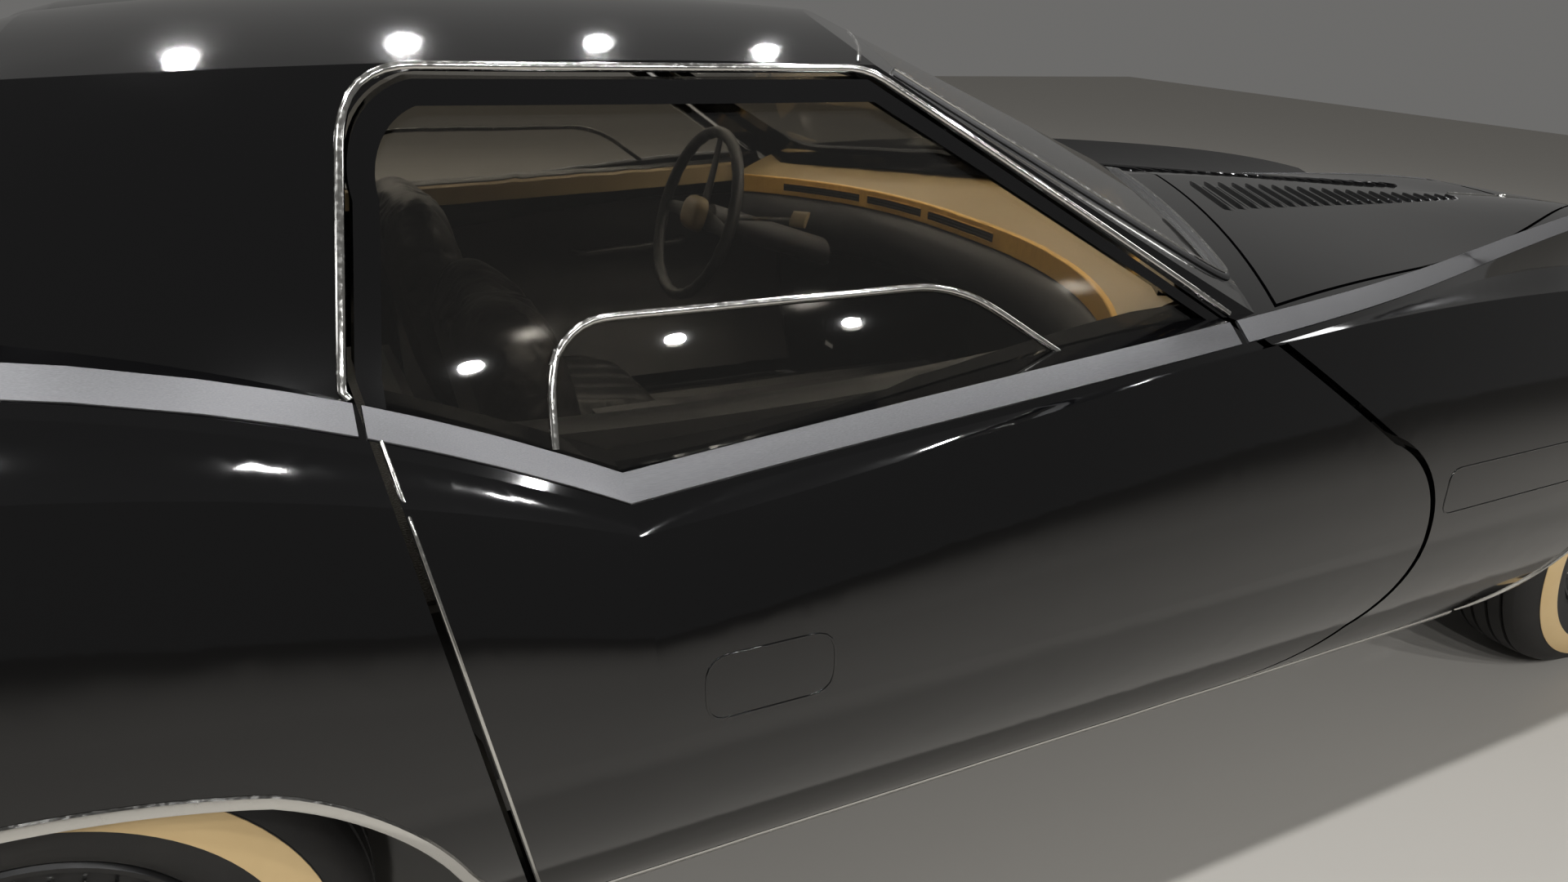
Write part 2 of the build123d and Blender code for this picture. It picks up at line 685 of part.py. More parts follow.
def tyre_profile():
    half, bead = TYRE_WIDTH / 2, RIM_RADIUS + SEAT_CLEARANCE
    rim_half = RIM_WIDTH / 2
    middle = (TYRE_RADIUS + RIM_RADIUS) / 2
    crown = (0.62 * half, TYRE_RADIUS - 6)
    return [
        ((-rim_half, bead), (-half, middle), (-crown[0], crown[1])),
        ((-crown[0], crown[1]), (0, TYRE_RADIUS), crown),
        (crown, (half, middle), (rim_half, bead)),
        ((rim_half, bead), (-rim_half, bead)),
    ]


# Wheel in section, (axial outward from the middle, radius): hub, dish, rim
def wheel_profile():
    rim_half = RIM_WIDTH / 2
    return polygon(
        [
            (-30, HUB_BORE),
            (52, HUB_BORE),
            (58, HUB_RADIUS),
            (22, HUB_RADIUS + 22),
            (16, 150),
            (40, 176),
            (rim_half, 180),
            (rim_half, RIM_RADIUS),
            (-rim_half, RIM_RADIUS),
            (-rim_half, 180),
            (-6, 172),
            (-2, 150),
            (4, HUB_RADIUS + 20),
            (-30, HUB_RADIUS + 8),
        ]
    )


wheel_places = {
    "front_left": (FRONT_AXLE_X, 1),
    "front_right": (FRONT_AXLE_X, -1),
    "rear_left": (REAR_AXLE_X, 1),
    "rear_right": (REAR_AXLE_X, -1),
}
parts = {}
tyre_left = ring_of(tyre_profile(), (0, TRACK_HALF, TYRE_RADIUS))
wheel_left = ring_of(wheel_profile(), (0, TRACK_HALF, TYRE_RADIUS))
for place, (axle_x, side) in wheel_places.items():
    for name, solid in (("tyre", tyre_left), ("wheel", wheel_left)):
        moved = solid.moved(Location((axle_x, 0, 0)))
        parts[f"{name}_{place}"] = moved if side > 0 else mirrored(moved)


def rod(start, end, radius):
    """Round bar between two points."""
    a, b = Vector(*start), Vector(*end)
    plane = Plane(origin=a, z_dir=(b - a))
    return Solid.make_cylinder(radius, (b - a).length, plane)


# Knuckle: an upright on the kingpin with a spindle into the hub
KINGPIN_W = TRACK_HALF - KINGPIN_INSET
wheel_z = TYRE_RADIUS
SPINDLE_RADIUS = HUB_BORE - SHAFT_CLEARANCE
KINGPIN = 14.0
upright = block(DRAWN_WHEELBASE - 30, DRAWN_WHEELBASE + 30, KINGPIN_W - 22, KINGPIN_W + 22, wheel_z - 110, wheel_z + 120)
spindle = rod((FRONT_AXLE_X, KINGPIN_W, wheel_z), (FRONT_AXLE_X, TRACK_HALF + 48, wheel_z), SPINDLE_RADIUS)
kingpin = rod((FRONT_AXLE_X, KINGPIN_W, wheel_z - 140), (FRONT_AXLE_X, KINGPIN_W, wheel_z + 145), KINGPIN)
knuckle = fused(upright, spindle, kingpin)

# Front crossmember with upper and lower arms that end in kingpin eyes
lower_arm = block(DRAWN_WHEELBASE - 45, DRAWN_WHEELBASE + 45, 300.0, KINGPIN_W + 26, wheel_z - 150, wheel_z - 110 - SEAT_CLEARANCE)
upper_arm = block(DRAWN_WHEELBASE - 35, DRAWN_WHEELBASE + 35, 300.0, KINGPIN_W + 26, wheel_z + 120 + SEAT_CLEARANCE, wheel_z + 150)
cross = block(DRAWN_WHEELBASE - 80, DRAWN_WHEELBASE + 80, -1.0, 420.0, wheel_z - 150, wheel_z - 70)
tower = block(DRAWN_WHEELBASE - 60, DRAWN_WHEELBASE + 60, 330.0, 420.0, wheel_z - 150, wheel_z + 170)
kingpin_bore = rod(
    (FRONT_AXLE_X, KINGPIN_W, wheel_z - 160), (FRONT_AXLE_X, KINGPIN_W, wheel_z + 160), KINGPIN + SHAFT_CLEARANCE
)
front_suspension = both_halves(cut(fused(lower_arm, upper_arm, cross, tower), kingpin_bore))

# Rear axle: tube, differential housing, and hub stubs
tube = rod((REAR_AXLE_X, -TRACK_HALF - 48, wheel_z), (REAR_AXLE_X, TRACK_HALF + 48, wheel_z), SPINDLE_RADIUS)
diff = Solid.make_sphere(135).moved(Location((REAR_AXLE_X, 0, wheel_z)))
flange = rod((REAR_AXLE_X, TRACK_HALF - 120, wheel_z), (REAR_AXLE_X, TRACK_HALF - 32, wheel_z), 120.0)
LEAF_W = (440.0, 490.0)
LEAF_HALF = 400.0
LEAF_THICK = 32.0
RAIL_BOTTOM_Z = 480.0


def leaf_spring():
    """Bowed leaf under one rear rail, with an eye block at each end and a saddle on the axle."""
    low, high = 300.0, 430.0
    under = ((-LEAF_HALF, high), (0.0, low), (LEAF_HALF, high))
    over = ((LEAF_HALF, high + LEAF_THICK), (0.0, low + LEAF_THICK), (-LEAF_HALF, high + LEAF_THICK))
    outline = [under, (under[2], over[0]), over, (over[2], under[0])]
    leaf = side_prism(outline, *LEAF_W)
    top = RAIL_BOTTOM_Z - SEAT_CLEARANCE
    eyes = [block(f - 22, f + 22, *LEAF_W, high - 8, top) for f in (-LEAF_HALF, LEAF_HALF)]
    return fused(leaf, *eyes)


leaf = leaf_spring()
rear_axle = fused(tube, diff, flange, mirrored(flange), leaf, mirrored(leaf))

# Frame: two rails kicked up over both axles, with crossmembers
RAIL_W = (430.0, 500.0)
FRONT_RAIL_W = (330.0, 420.0)
REAR_RAIL_TOP_Z = 560.0


def rail_half():
    mid = block(450.0, 2350.0, *RAIL_W, 190.0, SILL_TOP_Z)
    front = block(2250.0, FRONT_RAIL_END, *FRONT_RAIL_W, 390.0, 480.0)
    kick_front = block(2250.0, 2350.0, 330.0, 500.0, 190.0, 480.0)
    rear = block(REAR_RAIL_END, 550.0, *RAIL_W, RAIL_BOTTOM_Z, REAR_RAIL_TOP_Z)
    kick_rear = block(450.0, 550.0, *RAIL_W, 190.0, REAR_RAIL_TOP_Z)
    ties = [
        block(1500.0, 1580.0, -1.0, 431.0, 200.0, 260.0),
        block(-700.0, -620.0, -1.0, 431.0, 490.0, 550.0),
        block(3500.0, 3580.0, -1.0, 331.0, 400.0, 470.0),
    ]
    return fused(mid, front, kick_front, rear, kick_rear, *ties)


frame_rails = both_halves(rail_half())
frame_rails = cut(frame_rails, front_suspension)

# Floor on the rails and sills, with firewall, heel step, bulkhead and trunk floor
FLOOR_Z = SILL_TOP_Z
SHEET = 20.0
KICK_FORWARD = 552.0
FIREWALL_FORWARD = 2220.0
BULKHEAD_FORWARD = -90.0
floor_half = block(KICK_FORWARD, FIREWALL_FORWARD, -1.0, 760.0, FLOOR_Z, FLOOR_Z + SHEET)
firewall = block(FIREWALL_FORWARD, FIREWALL_FORWARD + SHEET, -1.0, 620.0, FLOOR_Z, 1100.0)
toe = block(FIREWALL_FORWARD - 1, FIREWALL_FORWARD + SHEET, -1.0, 760.0, FLOOR_Z, FLOOR_Z + SHEET)
heel = block(KICK_FORWARD, KICK_FORWARD + SHEET, -1.0, 600.0, FLOOR_Z, REAR_RAIL_TOP_Z + SHEET)
rear_floor = block(-1100.0, KICK_FORWARD + SHEET, -1.0, 600.0, REAR_RAIL_TOP_Z, REAR_RAIL_TOP_Z + SHEET)
bulkhead = block(BULKHEAD_FORWARD, BULKHEAD_FORWARD + SHEET, -1.0, 600.0, REAR_RAIL_TOP_Z, 960.0)
firewall = common(firewall, under_lids)
floor_pan = both_halves(fused(floor_half, toe, firewall, heel, rear_floor, bulkhead))

# Engine as one plain block with its gearbox
engine = block(2420.0, 3180.0, -290.0, 290.0, 485.0, 800.0)
gearbox = block(2245.0, 2420.0, -150.0, 150.0, 485.0, 700.0)
mount_pad = block(2760.0, 2880.0, 289.0, 400.0, 480.0, 520.0)
engine_block = fused(engine, gearbox, mount_pad, mirrored(mount_pad))

# Cabin furniture
SEAT_W = (130.0, 640.0)
seat_base = block(620.0, 1150.0, *SEAT_W, FLOOR_Z + 20 + SEAT_CLEARANCE, 520.0)
back_outline = polygon([(600.0, 440.0), (760.0, 440.0), (640.0, 1000.0), (540.0, 1000.0)])
seat_back = side_prism(back_outline, *SEAT_W)
seat = fused(seat_base, seat_back)
dash_outline = [
    (((1515.0, 700.0)), (1640.0, 0.0)),
    ((1640.0, 0.0), (2050.0, 0.0)),
    ((2050.0, 0.0), (1610.0, 700.0)),
    ((1610.0, 700.0), (1515.0, 700.0)),
]
DASH_Z = (760.0, 925.0)
dash_half = plan_prism(dash_outline, *DASH_Z)
plenum = block(1900.0, FIREWALL_FORWARD, -1.0, 380.0, DASH_Z[0], 1100.0)
dash_half = common(fused(dash_half, plenum), under_lids)
dashboard = both_halves(dash_half)
console = block(900.0, 1560.0, -100.0, 100.0, FLOOR_Z + 20 + SEAT_CLEARANCE, 560.0)

# Steering wheel, its plane leaning forward at the top
WHEEL_CENTRE = (1240.0, 380.0, 890.0)
WHEEL_LEAN = 18.0
COLUMN_LENGTH = 330.0
hub_x = x_of(WHEEL_CENTRE[0])
lean = math.radians(WHEEL_LEAN)
column_dir = Vector(math.cos(lean), 0, -math.sin(lean))
hub_at = Vector(hub_x, WHEEL_CENTRE[1], WHEEL_CENTRE[2])
wheel_plane = Plane(origin=hub_at, x_dir=(0, 1, 0), z_dir=column_dir)
RIM_MAJOR = 188.0
RIM_MINOR = 12.0
steer_rim = wheel_plane.location * Solid.make_torus(RIM_MAJOR, RIM_MINOR)
steer_hub = Solid.make_cylinder(40.0, 44.0, Plane(origin=hub_at - column_dir * 10, z_dir=column_dir))
spokes = []
for angle in (90, 210, 330):
    a = math.radians(angle)
    away = wheel_plane.x_dir * math.cos(a) + wheel_plane.y_dir * math.sin(a)
    spokes.append(Solid.make_cylinder(9.0, RIM_MAJOR, Plane(origin=hub_at + column_dir * 6, z_dir=away)))
steering_wheel = fused(steer_rim, steer_hub, *spokes)
column_start = hub_at + column_dir * (34 + SEAT_CLEARANCE)
steering_column = Solid.make_cylinder(32.0, COLUMN_LENGTH, Plane(origin=column_start, z_dir=column_dir))
steering_column = cut(steering_column, dashboard)

# Bumpers, lamps and grille bars
BUMPER_BACK = 4.0
FRONT_BUMPER_Z = (360.0, 450.0)
REAR_BUMPER_Z = (430.0, 530.0)
BUMPER_HALF = 900.0


def bumper(forward_low, forward_high, heights, bracket):
    """Blade that follows the plan of the car's end, with its bar to the frame rail."""
    blade = common(ends_prism(-BUMPER_STAND), block(forward_low, forward_high, -1.0, BUMPER_HALF, *heights))
    blade = cut(blade, ends_prism(-BUMPER_BACK))
    return both_halves(fused(blade, bracket))


front_bracket = block(FRONT_RAIL_END, 3790.0, *BRACKET_W, *BRACKET_Z)
rear_bracket = block(-1285.0, REAR_RAIL_END, *REAR_BRACKET_W, *REAR_BRACKET_Z)
front_bumper = bumper(3300.0, 4000.0, FRONT_BUMPER_Z, front_bracket)
rear_bumper = bumper(-1400.0, -900.0, REAR_BUMPER_Z, rear_bracket)


def inner_of(span):
    return span[0] + SEAT_CLEARANCE, span[1] - SEAT_CLEARANCE


lens = block(3700.0, BODY_FRONT - 8, *inner_of(LAMP_W), *inner_of(LAMP_Z))
lens = common(lens, ends_prism(6.0))
headlamps = Compound([lens, mirrored(lens)])
tail_lens = block(-1300.0, -1200.0, *inner_of(TAIL_LAMP_W), *inner_of(TAIL_LAMP_Z))
tail_lens = common(tail_lens, ends_prism(6.0))
tail_lamps = Compound([tail_lens, mirrored(tail_lens)])
GRILLE_BARS = 9
bars = []
for i in range(GRILLE_BARS):
    z = GRILLE_Z[0] + (i + 0.5) * (GRILLE_Z[1] - GRILLE_Z[0]) / GRILLE_BARS
    bars.append(block(3600.0, BODY_FRONT, 58.0, 502.0, z - 5, z + 5))
posts = [block(3600.0, BODY_FRONT, w - 6, w + 6, *GRILLE_Z) for w in (66.0, 280.0, 494.0)]
grid = fused(bars[0], *bars[1:], *posts)
grille_half = common(cut(common(grid, ends_prism(8.0)), ends_prism(34.0)), grille_space)
grille = Compound([grille_half, mirrored(grille_half)])

halves = {
    "fender": fender,
    "quarter": quarter,
    "door": door,
    "door_glass": door_glass,
    "seat": seat,
    "knuckle": knuckle,
    "sill": sill,
}
for name, solid in halves.items():
    parts[f"{name}_left"] = solid
    parts[f"{name}_right"] = mirrored(solid)
parts.update(
    cowl_panel=both_halves(cowl),
    nose_panel=both_halves(nose),
    tail_panel=both_halves(tail),
    hood=both_halves(hood_half),
    deck_lid=both_halves(deck_half),
    roof_shell=roof_shell,
    windshield=windshield,
    backlight=backlight,
    frame_rails=frame_rails,
    floor_pan=floor_pan,
    engine_block=engine_block,
    front_suspension=front_suspension,
    rear_axle=rear_axle,
    dashboard=dashboard,
    console=console,
    steering_wheel=steering_wheel,
    steering_column=steering_column,
    front_bumper=front_bumper,
    rear_bumper=rear_bumper,
    headlamps=headlamps,
    tail_lamps=tail_lamps,
    grille=grille,
)

os.makedirs("parts", exist_ok=True)
for name, solid in parts.items():
    export_step(solid, f"parts/{name}.step")
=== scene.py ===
import math

import bmesh
import bpy
import numpy as np
from mathutils import Matrix, Vector
from mathutils.bvhtree import BVHTree


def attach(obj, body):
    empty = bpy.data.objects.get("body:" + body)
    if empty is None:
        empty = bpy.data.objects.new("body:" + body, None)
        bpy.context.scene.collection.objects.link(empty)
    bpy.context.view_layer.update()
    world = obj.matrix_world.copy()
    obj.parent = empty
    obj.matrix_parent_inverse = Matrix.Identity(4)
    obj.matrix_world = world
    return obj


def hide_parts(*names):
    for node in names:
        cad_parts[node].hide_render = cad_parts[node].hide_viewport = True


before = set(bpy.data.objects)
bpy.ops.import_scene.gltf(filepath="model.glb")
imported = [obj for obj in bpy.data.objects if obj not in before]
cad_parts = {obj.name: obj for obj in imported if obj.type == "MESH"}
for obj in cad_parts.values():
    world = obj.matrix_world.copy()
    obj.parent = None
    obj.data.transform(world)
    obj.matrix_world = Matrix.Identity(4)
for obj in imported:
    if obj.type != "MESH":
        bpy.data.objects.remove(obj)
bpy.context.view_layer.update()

# Frame rails, floor and firewall: pressed and welded steel under chassis enamel.
# The enamel is brushed on thick, half matt, with dust settled in it.


def linear(code):
    """sRGB hex to linear: c / 12.92 up to 0.04045, else ((c + 0.055) / 1.055) ** 2.4."""
    c = np.array([int(code[i:i + 2], 16) for i in (1, 3, 5)]) / 255
    c = np.where(c <= 0.04045, c / 12.92, ((c + 0.055) / 1.055) ** 2.4)
    return (*c.tolist(), 1.0)


def new_finish(name):
    """An empty node finish."""
    finish = bpy.data.materials.new(name)
    finish.use_nodes = True
    finish.node_tree.nodes.clear()
    return finish


def add(finish, kind, settings=None, links=()):
    """Adds a shader node: settings are inputs or properties by name, links are pairs of an
    input's name or number and the output that feeds it."""
    made = finish.node_tree.nodes.new(kind)
    for name, value in (settings or {}).items():
        if name in made.inputs:
            made.inputs[name].default_value = value
        else:
            setattr(made, name, value)
    for name, source in links:
        finish.node_tree.links.new(source, made.inputs[name])
    return made


def dress(finish, *names):
    """Puts a finish in every material slot of the named CAD nodes."""
    for name in names:
        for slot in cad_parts[name].material_slots:
            slot.material = finish


def grained(name, dark, light, patches, surface, grain=None, relief=None):
    """A finish in two tones, dark and light, blended by noise in patches. A grain, a texture
    node's kind and settings, is pressed in as a relief; surface holds the shader's inputs."""
    finish = new_finish(name)
    place = add(finish, "ShaderNodeTexCoord").outputs["Object"]
    blend = add(finish, "ShaderNodeTexNoise", patches, [("Vector", place)])
    tones = {"data_type": "RGBA", "A": linear(dark), "B": linear(light)}
    tone = add(finish, "ShaderNodeMix", tones, [("Factor", blend.outputs[0])])
    links = [("Base Color", tone.outputs[2])]
    if grain:
        press = add(finish, *grain, [("Vector", place)])
        bump = add(finish, "ShaderNodeBump", relief, [("Height", press.outputs[0])])
        links.append(("Normal", bump.outputs[0]))
    coat = add(finish, "ShaderNodeBsdfPrincipled", surface, links)
    add(finish, "ShaderNodeOutputMaterial", {}, [("Surface", coat.outputs[0])])
    return finish


chassis_enamel = grained(
    "brushed_chassis_enamel", "#141414", "#2b2926", {"Scale": 14.0, "Detail": 6.0},
    {"Roughness": 0.55, "IOR": 1.5}, ("ShaderNodeTexNoise", {"Scale": 420.0, "Detail": 3.0}),
    {"Strength": 0.25, "Distance": 0.0006},
)
dress(chassis_enamel, "frame_rails", "floor_pan")

# Engine and gearbox: cast iron, left as cast between machined faces and bolted together.
# A heat-proof enamel, sprayed thin, keeps the sand's grain and dulls where oil has run.
engine_enamel = grained(
    "cast_iron_enamel", "#1f3a5c", "#2c3946", {"Scale": 9.0, "Detail": 4.0},
    {"Roughness": 0.42, "IOR": 1.5}, ("ShaderNodeTexNoise", {"Scale": 260.0, "Detail": 5.0}),
    {"Strength": 0.5, "Distance": 0.001},
)
dress(engine_enamel, "engine_block")

# Axle, springs, arms and knuckles: forged and cast steel with a thin oily black coat.
# Scale left by the forge and a film of oil make the shine uneven.


def patterned(name, texture, output, surface, gloss=None, relief=None):
    """A finish of one colour under one pattern: a texture node's kind and settings, and the
    output that gloss, a map to roughness, and relief, a bump, are made from."""
    finish = new_finish(name)
    place = add(finish, "ShaderNodeTexCoord").outputs["Object"]
    pattern = add(finish, *texture, [("Vector", place)]).outputs[output]
    links = []
    if gloss:
        shine = add(finish, "ShaderNodeMapRange", gloss, [("Value", pattern)])
        links.append(("Roughness", shine.outputs[0]))
    if relief:
        bump = add(finish, "ShaderNodeBump", relief, [("Height", pattern)])
        links.append(("Normal", bump.outputs[0]))
    coat = add(finish, "ShaderNodeBsdfPrincipled", surface, links)
    add(finish, "ShaderNodeOutputMaterial", {}, [("Surface", coat.outputs[0])])
    return finish


forged_steel = patterned(
    "forged_oiled_steel", ("ShaderNodeTexNoise", {"Scale": 60.0, "Detail": 6.0}), "Fac",
    {"Base Color": linear("#33312f"), "Metallic": 0.85}, {"To Min": 0.35, "To Max": 0.65},
    {"Strength": 0.3, "Distance": 0.0008},
)
dress(forged_steel, "rear_axle", "front_suspension", "knuckle_left", "knuckle_right")

# Body panels: welded steel, filled, and sprayed in many coats of black lacquer, then polished.
# The polish leaves hair-fine curved scratches that catch every lamp, and a little dust.
lacquer = new_finish("polished_black_lacquer")
place = add(lacquer, "ShaderNodeTexCoord").outputs["Object"]
cloud = add(lacquer, "ShaderNodeTexNoise", {"Scale": 3.2, "Detail": 3.0}, [("Vector", place)])
hair = add(
    lacquer, "ShaderNodeTexNoise", {"Scale": 900.0, "Detail": 2.0, "Distortion": 1.5}, [("Vector", place)]
)
haze = add(
    lacquer,
    "ShaderNodeMapRange",
    {"From Min": 0.35, "From Max": 0.7, "To Min": 0.045, "To Max": 0.09},
    [("Value", cloud.outputs["Fac"])],
)
relief = add(
    lacquer, "ShaderNodeBump", {"Strength": 0.03, "Distance": 0.0002}, [("Height", hair.outputs["Fac"])]
)
coat = add(
    lacquer,
    "ShaderNodeBsdfPrincipled",
    {"Base Color": linear("#060607"), "IOR": 1.5, "Coat Weight": 0.25, "Coat Roughness": 0.03},
    [("Roughness", haze.outputs[0]), ("Normal", relief.outputs[0])],
)
add(lacquer, "ShaderNodeOutputMaterial", {}, [("Surface", coat.outputs[0])])
dress(
    lacquer, "hood", "deck_lid", "door_left", "door_right", "fender_left", "fender_right", "quarter_left",
    "quarter_right", "nose_panel", "tail_panel", "cowl_panel", "sill_left", "sill_right", "roof_shell",
)

# Belt moulding: a flat extruded aluminium band, brushed along its length and clear anodised.
# It is screwed on from inside along the shoulder of the body, mitred where it turns up.
REAR_AXLE, WHEELBASE = -1.285, 2.946
WHEEL_CENTRE_Z = 0.345

# forward of the rear axle, half width and height of the band's upper edge, in mm
BELT_LINE = np.array([
    (-1160, 713, 908), (-1100, 720, 918.3), (-1000, 732.7, 939.8), (-900, 745.8, 963.7),
    (-750, 765, 1000), (-600, 782, 1032.8), (-450, 795.7, 1058.3), (-300, 805.9, 1073.6),
    (-150, 813.1, 1076.8), (-50, 816.7, 1071.7), (50, 820, 1060.6), (150, 823.6, 1043.5),
    (250, 828.3, 1020.5), (320, 832.7, 1001.1), (385, 838.1, 980.7), (450, 845.1, 958.2),
    (520, 854.8, 931.8), (600, 869.6, 899.3), (645, 880, 880), (720, 872.9, 884.3), (800, 870.1, 890.9),
    (900, 871, 901), (1000, 874.3, 912), (1150, 879.4, 928.2), (1300, 879.9, 942), (1450, 872.4, 951.8),
    (1600, 855, 957), (1750, 827.3, 957.6), (1900, 789.9, 954.1), (2000, 760.3, 950),
    (2100, 727.9, 944.9), (2200, 693.1, 939.1), (2300, 657, 933), (2450, 601.8, 924.3),
    (2600, 547.7, 917.1), (2750, 496.6, 912.2), (2900, 449.8, 910.1), (3050, 407.3, 910.3),
    (3200, 367.8, 911.8), (3350, 328.3, 912.5), (3500, 283.7, 909.2), (3600, 247.4, 902.6),
    (3700, 202.4, 890.3),
]) / 1000
BAND_RUN, BAND_DROP = 0.030, -0.025
DOORS = ("door_left", "door_right")


def piece(name, grids, finish, body, crease=40.0):
    """One mesh from grids of points (rows, columns, 3), four neighbours to a face; coincident
    points are merged, which closes seams and poles, and the faces are turned outwards."""
    points, faces, first = [], [], 0
    for grid in grids:
        grid = np.asarray(grid, float)
        rows, columns = grid.shape[:2]
        corner = first + (np.arange(rows - 1)[:, None] * columns + np.arange(columns - 1)[None, :]).ravel()
        faces.append(np.stack([corner, corner + 1, corner + columns + 1, corner + columns], 1))
        points.append(grid.reshape(-1, 3))
        first += rows * columns
    mesh = bpy.data.meshes.new(name)
    mesh.from_pydata(np.concatenate(points).tolist(), [], np.concatenate(faces).tolist())
    work = bmesh.new()
    work.from_mesh(mesh)
    bmesh.ops.remove_doubles(work, verts=work.verts, dist=2e-6)
    bmesh.ops.dissolve_degenerate(work, edges=work.edges, dist=1e-7)
    bmesh.ops.recalc_face_normals(work, faces=work.faces)
    work.to_mesh(mesh)
    work.free()
    mesh.shade_smooth()
    mesh.set_sharp_from_angle(angle=math.radians(crease))
    mesh.materials.append(finish)
    made = bpy.data.objects.new(name, mesh)
    bpy.context.scene.collection.objects.link(made)
    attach(made, body)
    return made


def capped(grid):
    """The grid of a bar with each end row drawn in to its middle, which closes the bar."""
    ends = grid[[0, -1]].mean(axis=1, keepdims=True) + 0 * grid[[0, -1]]
    return np.concatenate([ends[:1], grid, ends[1:]])


def other_side(grid):
    """The same grid on the car's right side, mirrored in the centre plane."""
    return grid * np.array([1, -1, 1])


def along(path):
    """Unit direction of a path at each of its points."""
    step = np.gradient(path, axis=0)
    return step / np.linalg.norm(step, axis=1, keepdims=True)


def carried(path, normal, profile):
    """A closed profile of (across, out) points carried along a path: point = place
    + across * (direction x normal) + out * normal."""
    heading = along(path)
    normal = normal - (normal * heading).sum(1, keepdims=True) * heading
    normal /= np.linalg.norm(normal, axis=1, keepdims=True)
    side = np.cross(heading, normal)
    profile = np.asarray(profile)
    return path[:, None] + side[:, None] * profile[None, :, :1] + normal[:, None] * profile[None, :, 1:]


def bar(path, normal, profile):
    """The bar that a profile makes along a path, with both ends closed."""
    return capped(carried(path, normal, profile))


def belt_edge(forward):
    """Upper edge of the band on the left side at these distances forward, in metres."""
    w = np.interp(forward, BELT_LINE[:, 0], BELT_LINE[:, 1])
    z = np.interp(forward, BELT_LINE[:, 0], BELT_LINE[:, 2])
    return np.stack([forward + REAR_AXLE, w, z], 1)


def belt_band(start, end, mitre=None):
    """Flat bar between the band's two edges, 2.3 mm proud with eased corners."""
    forward = np.arange(start, end, 0.025)
    if mitre:
        forward = np.sort(np.append(forward[np.abs(forward - mitre) > 0.012], mitre))
    upper = belt_edge(np.append(forward, end))
    lower = upper + np.array([0, BAND_RUN, BAND_DROP])
    out = np.cross(along(upper), lower - upper)
    out /= np.linalg.norm(out, axis=1, keepdims=True)
    out *= np.sign(out[:, 2:3])
    section = [(0.0, -2.0), (0.0, 1.5), (0.02, 2.3), (0.98, 2.3), (1.0, 1.5), (1.0, -2.0), (0.0, -2.0)]
    rows = [upper + t * (lower - upper) + out * h / 1000 for t, h in section]
    return capped(np.stack(rows, 1))


def brushed(name, stretch, fineness, dark, light, surface, relief=None):
    """A brushed and anodised metal: noise drawn out by stretch blends dark and light, sets the
    roughness between 0.34 and 0.5, and gives the relief."""
    finish = new_finish(name)
    place = add(finish, "ShaderNodeTexCoord").outputs["Object"]
    lines = add(finish, "ShaderNodeMapping", {"Scale": stretch}, [("Vector", place)])
    grain = {"Scale": fineness, "Detail": 4.0}
    brush = add(finish, "ShaderNodeTexNoise", grain, [("Vector", lines.outputs[0])]).outputs["Fac"]
    gloss = add(finish, "ShaderNodeMapRange", {"To Min": 0.34, "To Max": 0.5}, [("Value", brush)])
    tones = {"data_type": "RGBA", "A": linear(dark), "B": linear(light)}
    shade = add(finish, "ShaderNodeMix", tones, [("Factor", brush)])
    links = [("Base Color", shade.outputs[2]), ("Roughness", gloss.outputs[0])]
    if relief:
        bump = add(finish, "ShaderNodeBump", relief, [("Height", brush)])
        links.append(("Normal", bump.outputs[0]))
    metal = add(finish, "ShaderNodeBsdfPrincipled", surface, links)
    add(finish, "ShaderNodeOutputMaterial", {}, [("Surface", metal.outputs[0])])
    return finish


brushed_aluminium = brushed(
    "brushed_anodised_aluminium", (1.0, 60.0, 60.0), 45.0, "#505052", "#7c7c7e",
    {"Metallic": 1.0, "Anisotropic": 0.5}, {"Strength": 0.12, "Distance": 0.0002},
)

for start, end, mitre, name, bodies in (
    (-1.150, 0.381, None, "belt_quarter", ("car", "car")),
    (0.389, 1.572, 0.645, "belt_door", DOORS),
    (1.588, 3.655, None, "belt_fender", ("car", "car")),
):
    band = belt_band(start, end, mitre)
    piece(f"{name}_left", [band], brushed_aluminium, bodies[0], 15.0)
    piece(f"{name}_right", [other_side(band)], brushed_aluminium, bodies[1], 15.0)

# Rocker mouldings, wheel arch lips and door edge guards: thin stainless strip, rolled to a
# half round, polished bright and clipped along the edges of the panels.


def arc(start, middle, end, count=16):
    """Points on the circle through three points of a plane: its centre is equally far from
    all three, and the angles between them are even."""
    a, b, c = (np.asarray(p, float) for p in (start, middle, end))
    centre = np.linalg.solve(2 * np.array([b - a, c - a]), [b @ b - a @ a, c @ c - a @ a])
    angles = np.unwrap([math.atan2(*(p - centre)[::-1]) for p in (a, b, c)])
    turn = np.linspace(angles[0], angles[2], count)
    return centre + np.linalg.norm(a - centre) * np.stack([np.cos(turn), np.sin(turn)], 1)


def evened(line, step):
    """The same line with points every step along it."""
    length = np.append(0, np.cumsum(np.linalg.norm(np.diff(line, axis=0), axis=1)))
    even = np.linspace(0, length[-1], max(2, round(length[-1] / step)) + 1)
    return np.stack([np.interp(even, length, line[:, k]) for k in range(line.shape[1])], 1)


